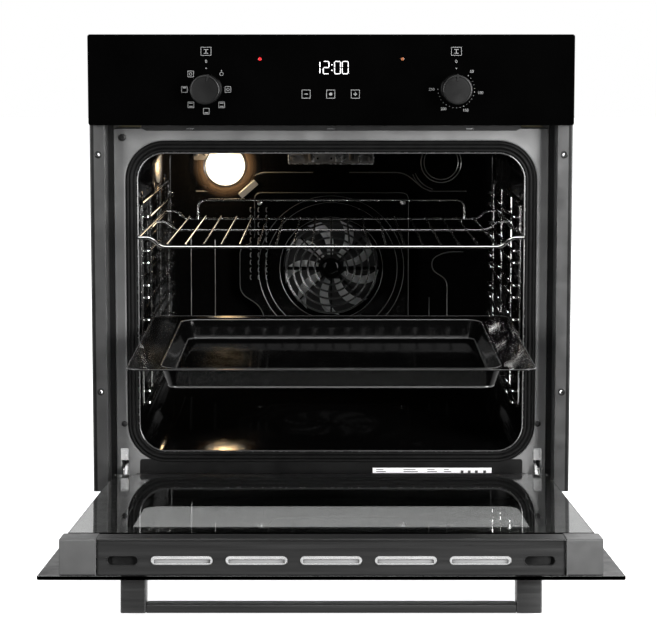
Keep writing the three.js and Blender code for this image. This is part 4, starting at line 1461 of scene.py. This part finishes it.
def tray():
    """The deep tray: thin-edged side wings, sloped pan walls with radiused corners, and lighter lines along
    its edges as painted highlight.
    """
    low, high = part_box("deep_tray")
    half = high.x
    length = (high.y - low.y) / math.cos(TRAY_TILT)
    outer = half - 39 * MM
    pan = rounded(-outer, outer, 12 * MM, length - 24 * MM, 20 * MM, 10)
    rim = rounded(-half, half, 0, length, 14 * MM, 10)
    upper = [(rim, 0, -1.0), (rim, 0, -0.4), (rim, -0.8, 0.2), (rim, -3.0, 0.0), (rim, -4.4, -0.4),
             (pan, 5.0, -0.5), (pan, 2.2, -0.3), (pan, 0.4, -1.2), (pan, -0.6, -3.5), (pan, -6.0, -20.5),
             (pan, -8.6, -23.4), (pan, -13, -24.0)]
    under = [(pan, -13, -25.0), (pan, -8.2, -24.4), (pan, -5.0, -21.0), (pan, 0.5, -3.6), (pan, 1.6, -2.0),
             (pan, 5.0, -1.2), (rim, -4.4, -1.15), (rim, -1.6, -1.1), (rim, -1.0, -1.1)]
    place = (Matrix.Translation((0, low.y, high.z - math.sin(TRAY_TILT) * length))
             @ Matrix.Rotation(TRAY_TILT, 4, "X"))
    bm = bmesh.new()
    above, below = ([tray_ring(*section) for section in side] for side in (upper, under))
    loft(bm, above)
    loft(bm, below)
    loft(bm, [below[-1], above[0]])
    for ring in (above[-1], below[0]):
        bm.faces.new([bm.verts.new(point) for point in ring])
    bm.transform(place)
    piece("tray_pan", bm, ENAMEL, "tray", "enamel", "deep_tray")
    # painted highlight: lighter enamel tubes along the rim, the pan's upper edge and its bottom radius
    bm = bmesh.new()
    edges = ((rim, -1.0, -0.35, 0.7), (pan, 0.8, -0.9, 0.7), (pan, -7.4, -23.6, 1.3))
    for outline, growth, rise, radius in edges:
        tube(bm, tray_ring(outline, growth, rise), radius * MM, 8, closed=True)
    bm.transform(place)
    piece("tray_edges", bm, HIGHLIGHT_ENAMEL, "tray", "enamel")


def tray_ring(outline, growth, rise):
    """An outline of the tray moved outwards and lifted, both in millimetres."""
    return [facing_up(u, v, rise * MM) for u, v in grown(outline, growth * MM)]


# ---- stage ----
def background():
    """White to the camera; to everything else dark in front of the oven and pale behind it."""
    world = bpy.data.worlds.new("studio")
    bpy.context.scene.world = world
    world.use_nodes = True
    tree = world.node_tree
    tree.nodes.clear()
    output = add_node(tree, "ShaderNodeOutputWorld")
    shown = add_node(tree, "ShaderNodeBackground", {"Color": (1, 1, 1, 1)})
    around = add_node(tree, "ShaderNodeBackground")
    ramp = add_node(tree, "ShaderNodeValToRGB")
    stops = ramp.color_ramp.elements
    stops[0].position, stops[0].color = 0.52, (*grey(0.012), 1)
    stops[1].position, stops[1].color = 0.62, (*grey(0.85), 1)
    split = add_node(tree, "ShaderNodeSeparateXYZ")
    spread = add_node(tree, "ShaderNodeMapRange", {"From Min": -1.0})
    coordinates = add_node(tree, "ShaderNodeTexCoord")
    path = add_node(tree, "ShaderNodeLightPath")
    mix = add_node(tree, "ShaderNodeMixShader")
    link = tree.links.new
    link(coordinates.outputs["Generated"], split.inputs["Vector"])
    link(split.outputs["Y"], spread.inputs["Value"])
    link(spread.outputs["Result"], ramp.inputs["Fac"])
    link(ramp.outputs["Color"], around.inputs["Color"])
    link(path.outputs["Is Camera Ray"], mix.inputs["Fac"])
    link(around.outputs["Background"], mix.inputs[1])
    link(shown.outputs["Background"], mix.inputs[2])
    link(mix.outputs["Shader"], output.inputs["Surface"])


def stage():
    """A plain pale floor, which is left out of reflections so that the dark parts stay dark."""
    material = bpy.data.materials.new("pale_floor")
    material.use_nodes = True
    shader = material.node_tree.nodes["Principled BSDF"]
    looks = {"Base Color": (*grey(0.85), 1), "Roughness": 0.9, "Emission Color": (1, 1, 1, 1),
             "Emission Strength": 0.85}
    for socket, value in looks.items():
        shader.inputs[socket].default_value = value
    reach = 12.0
    bm = bmesh.new()
    loft(bm, [[(-reach, y, 0), (reach, y, 0)] for y in (-reach, reach)], closed=False)
    bm.transform(Matrix.Translation((0, 0, cad_low.z - 1 * MM)))
    mesh = bpy.data.meshes.new("floor")
    bm.to_mesh(mesh)
    bm.free()
    mesh.materials.append(material)
    floor = bpy.data.objects.new("floor", mesh)
    bpy.context.scene.collection.objects.link(floor)
    floor.visible_diffuse = False
    floor.visible_glossy = False


def soft_box(name, place, width, height, power):
    """A white area light aimed at the middle of the oven."""
    target = Vector((0, -0.1, 0.3))
    data = bpy.data.lights.new(name, "AREA")
    data.shape = "RECTANGLE"
    data.size = width
    data.size_y = height
    data.energy = power
    box = bpy.data.objects.new(name, data)
    box.location = place
    box.rotation_euler = (target - Vector(place)).to_track_quat("-Z", "Y").to_euler()
    bpy.context.scene.collection.objects.link(box)


def lights():
    """Soft boxes at the sides, above and behind, and the oven's own lamp."""
    soft_box("right_box", (1.75, -2.3, 0.85), 1.0, 1.8, 125)
    soft_box("left_box", (-1.8, -2.4, 0.8), 0.8, 1.6, 50)
    soft_box("top_box", (0, -1.7, 2.5), 2.6, 0.9, 36)
    soft_box("rear_box", (0.6, 2.4, 1.8), 2.0, 1.2, 30)
    bulb = bpy.data.lights.new("oven_lamp", "POINT")
    bulb.energy = 0.9
    bulb.color = (1.0, 0.72, 0.42)
    bulb.shadow_soft_size = 6 * MM
    spot = bpy.data.objects.new("oven_lamp", bulb)
    middle = centre_of("lamp_lens")
    spot.location = (middle.x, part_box("lamp_lens")[0].y - 8 * MM, middle.z)
    spot.visible_glossy = False
    bpy.context.scene.collection.objects.link(spot)


def camera():
    """A long lens just below the level of the oven's top, straight on and pitched down a little."""
    data = bpy.data.cameras.new("camera")
    data.sensor_width = 36
    data.lens = 97.6
    data.shift_x = -0.0041
    data.shift_y = -0.17
    view = bpy.data.objects.new("camera", data)
    view.location = (0, FACE - 2.1815, 0.5806)
    view.rotation_euler = (math.pi / 2 - 0.0916, 0, 0)
    bpy.context.scene.collection.objects.link(view)
    bpy.context.scene.camera = view


outer_body()
front_face()
seal()
trims()
face_fittings()
cavity()
fan_cover()
impeller()
lamp()
grill_tubes()
element_plate()
hidden_parts()
for ladder_name, ladder_side in SIDES:
    ladder(ladder_name, ladder_side)
control_panel()
door_glass()
top_profile()
door_caps()
door_frame_parts()
handle()
hinges()
rack()
tray()
background()
stage()
lights()
camera()
bpy.context.scene.view_settings.view_transform = "Standard"
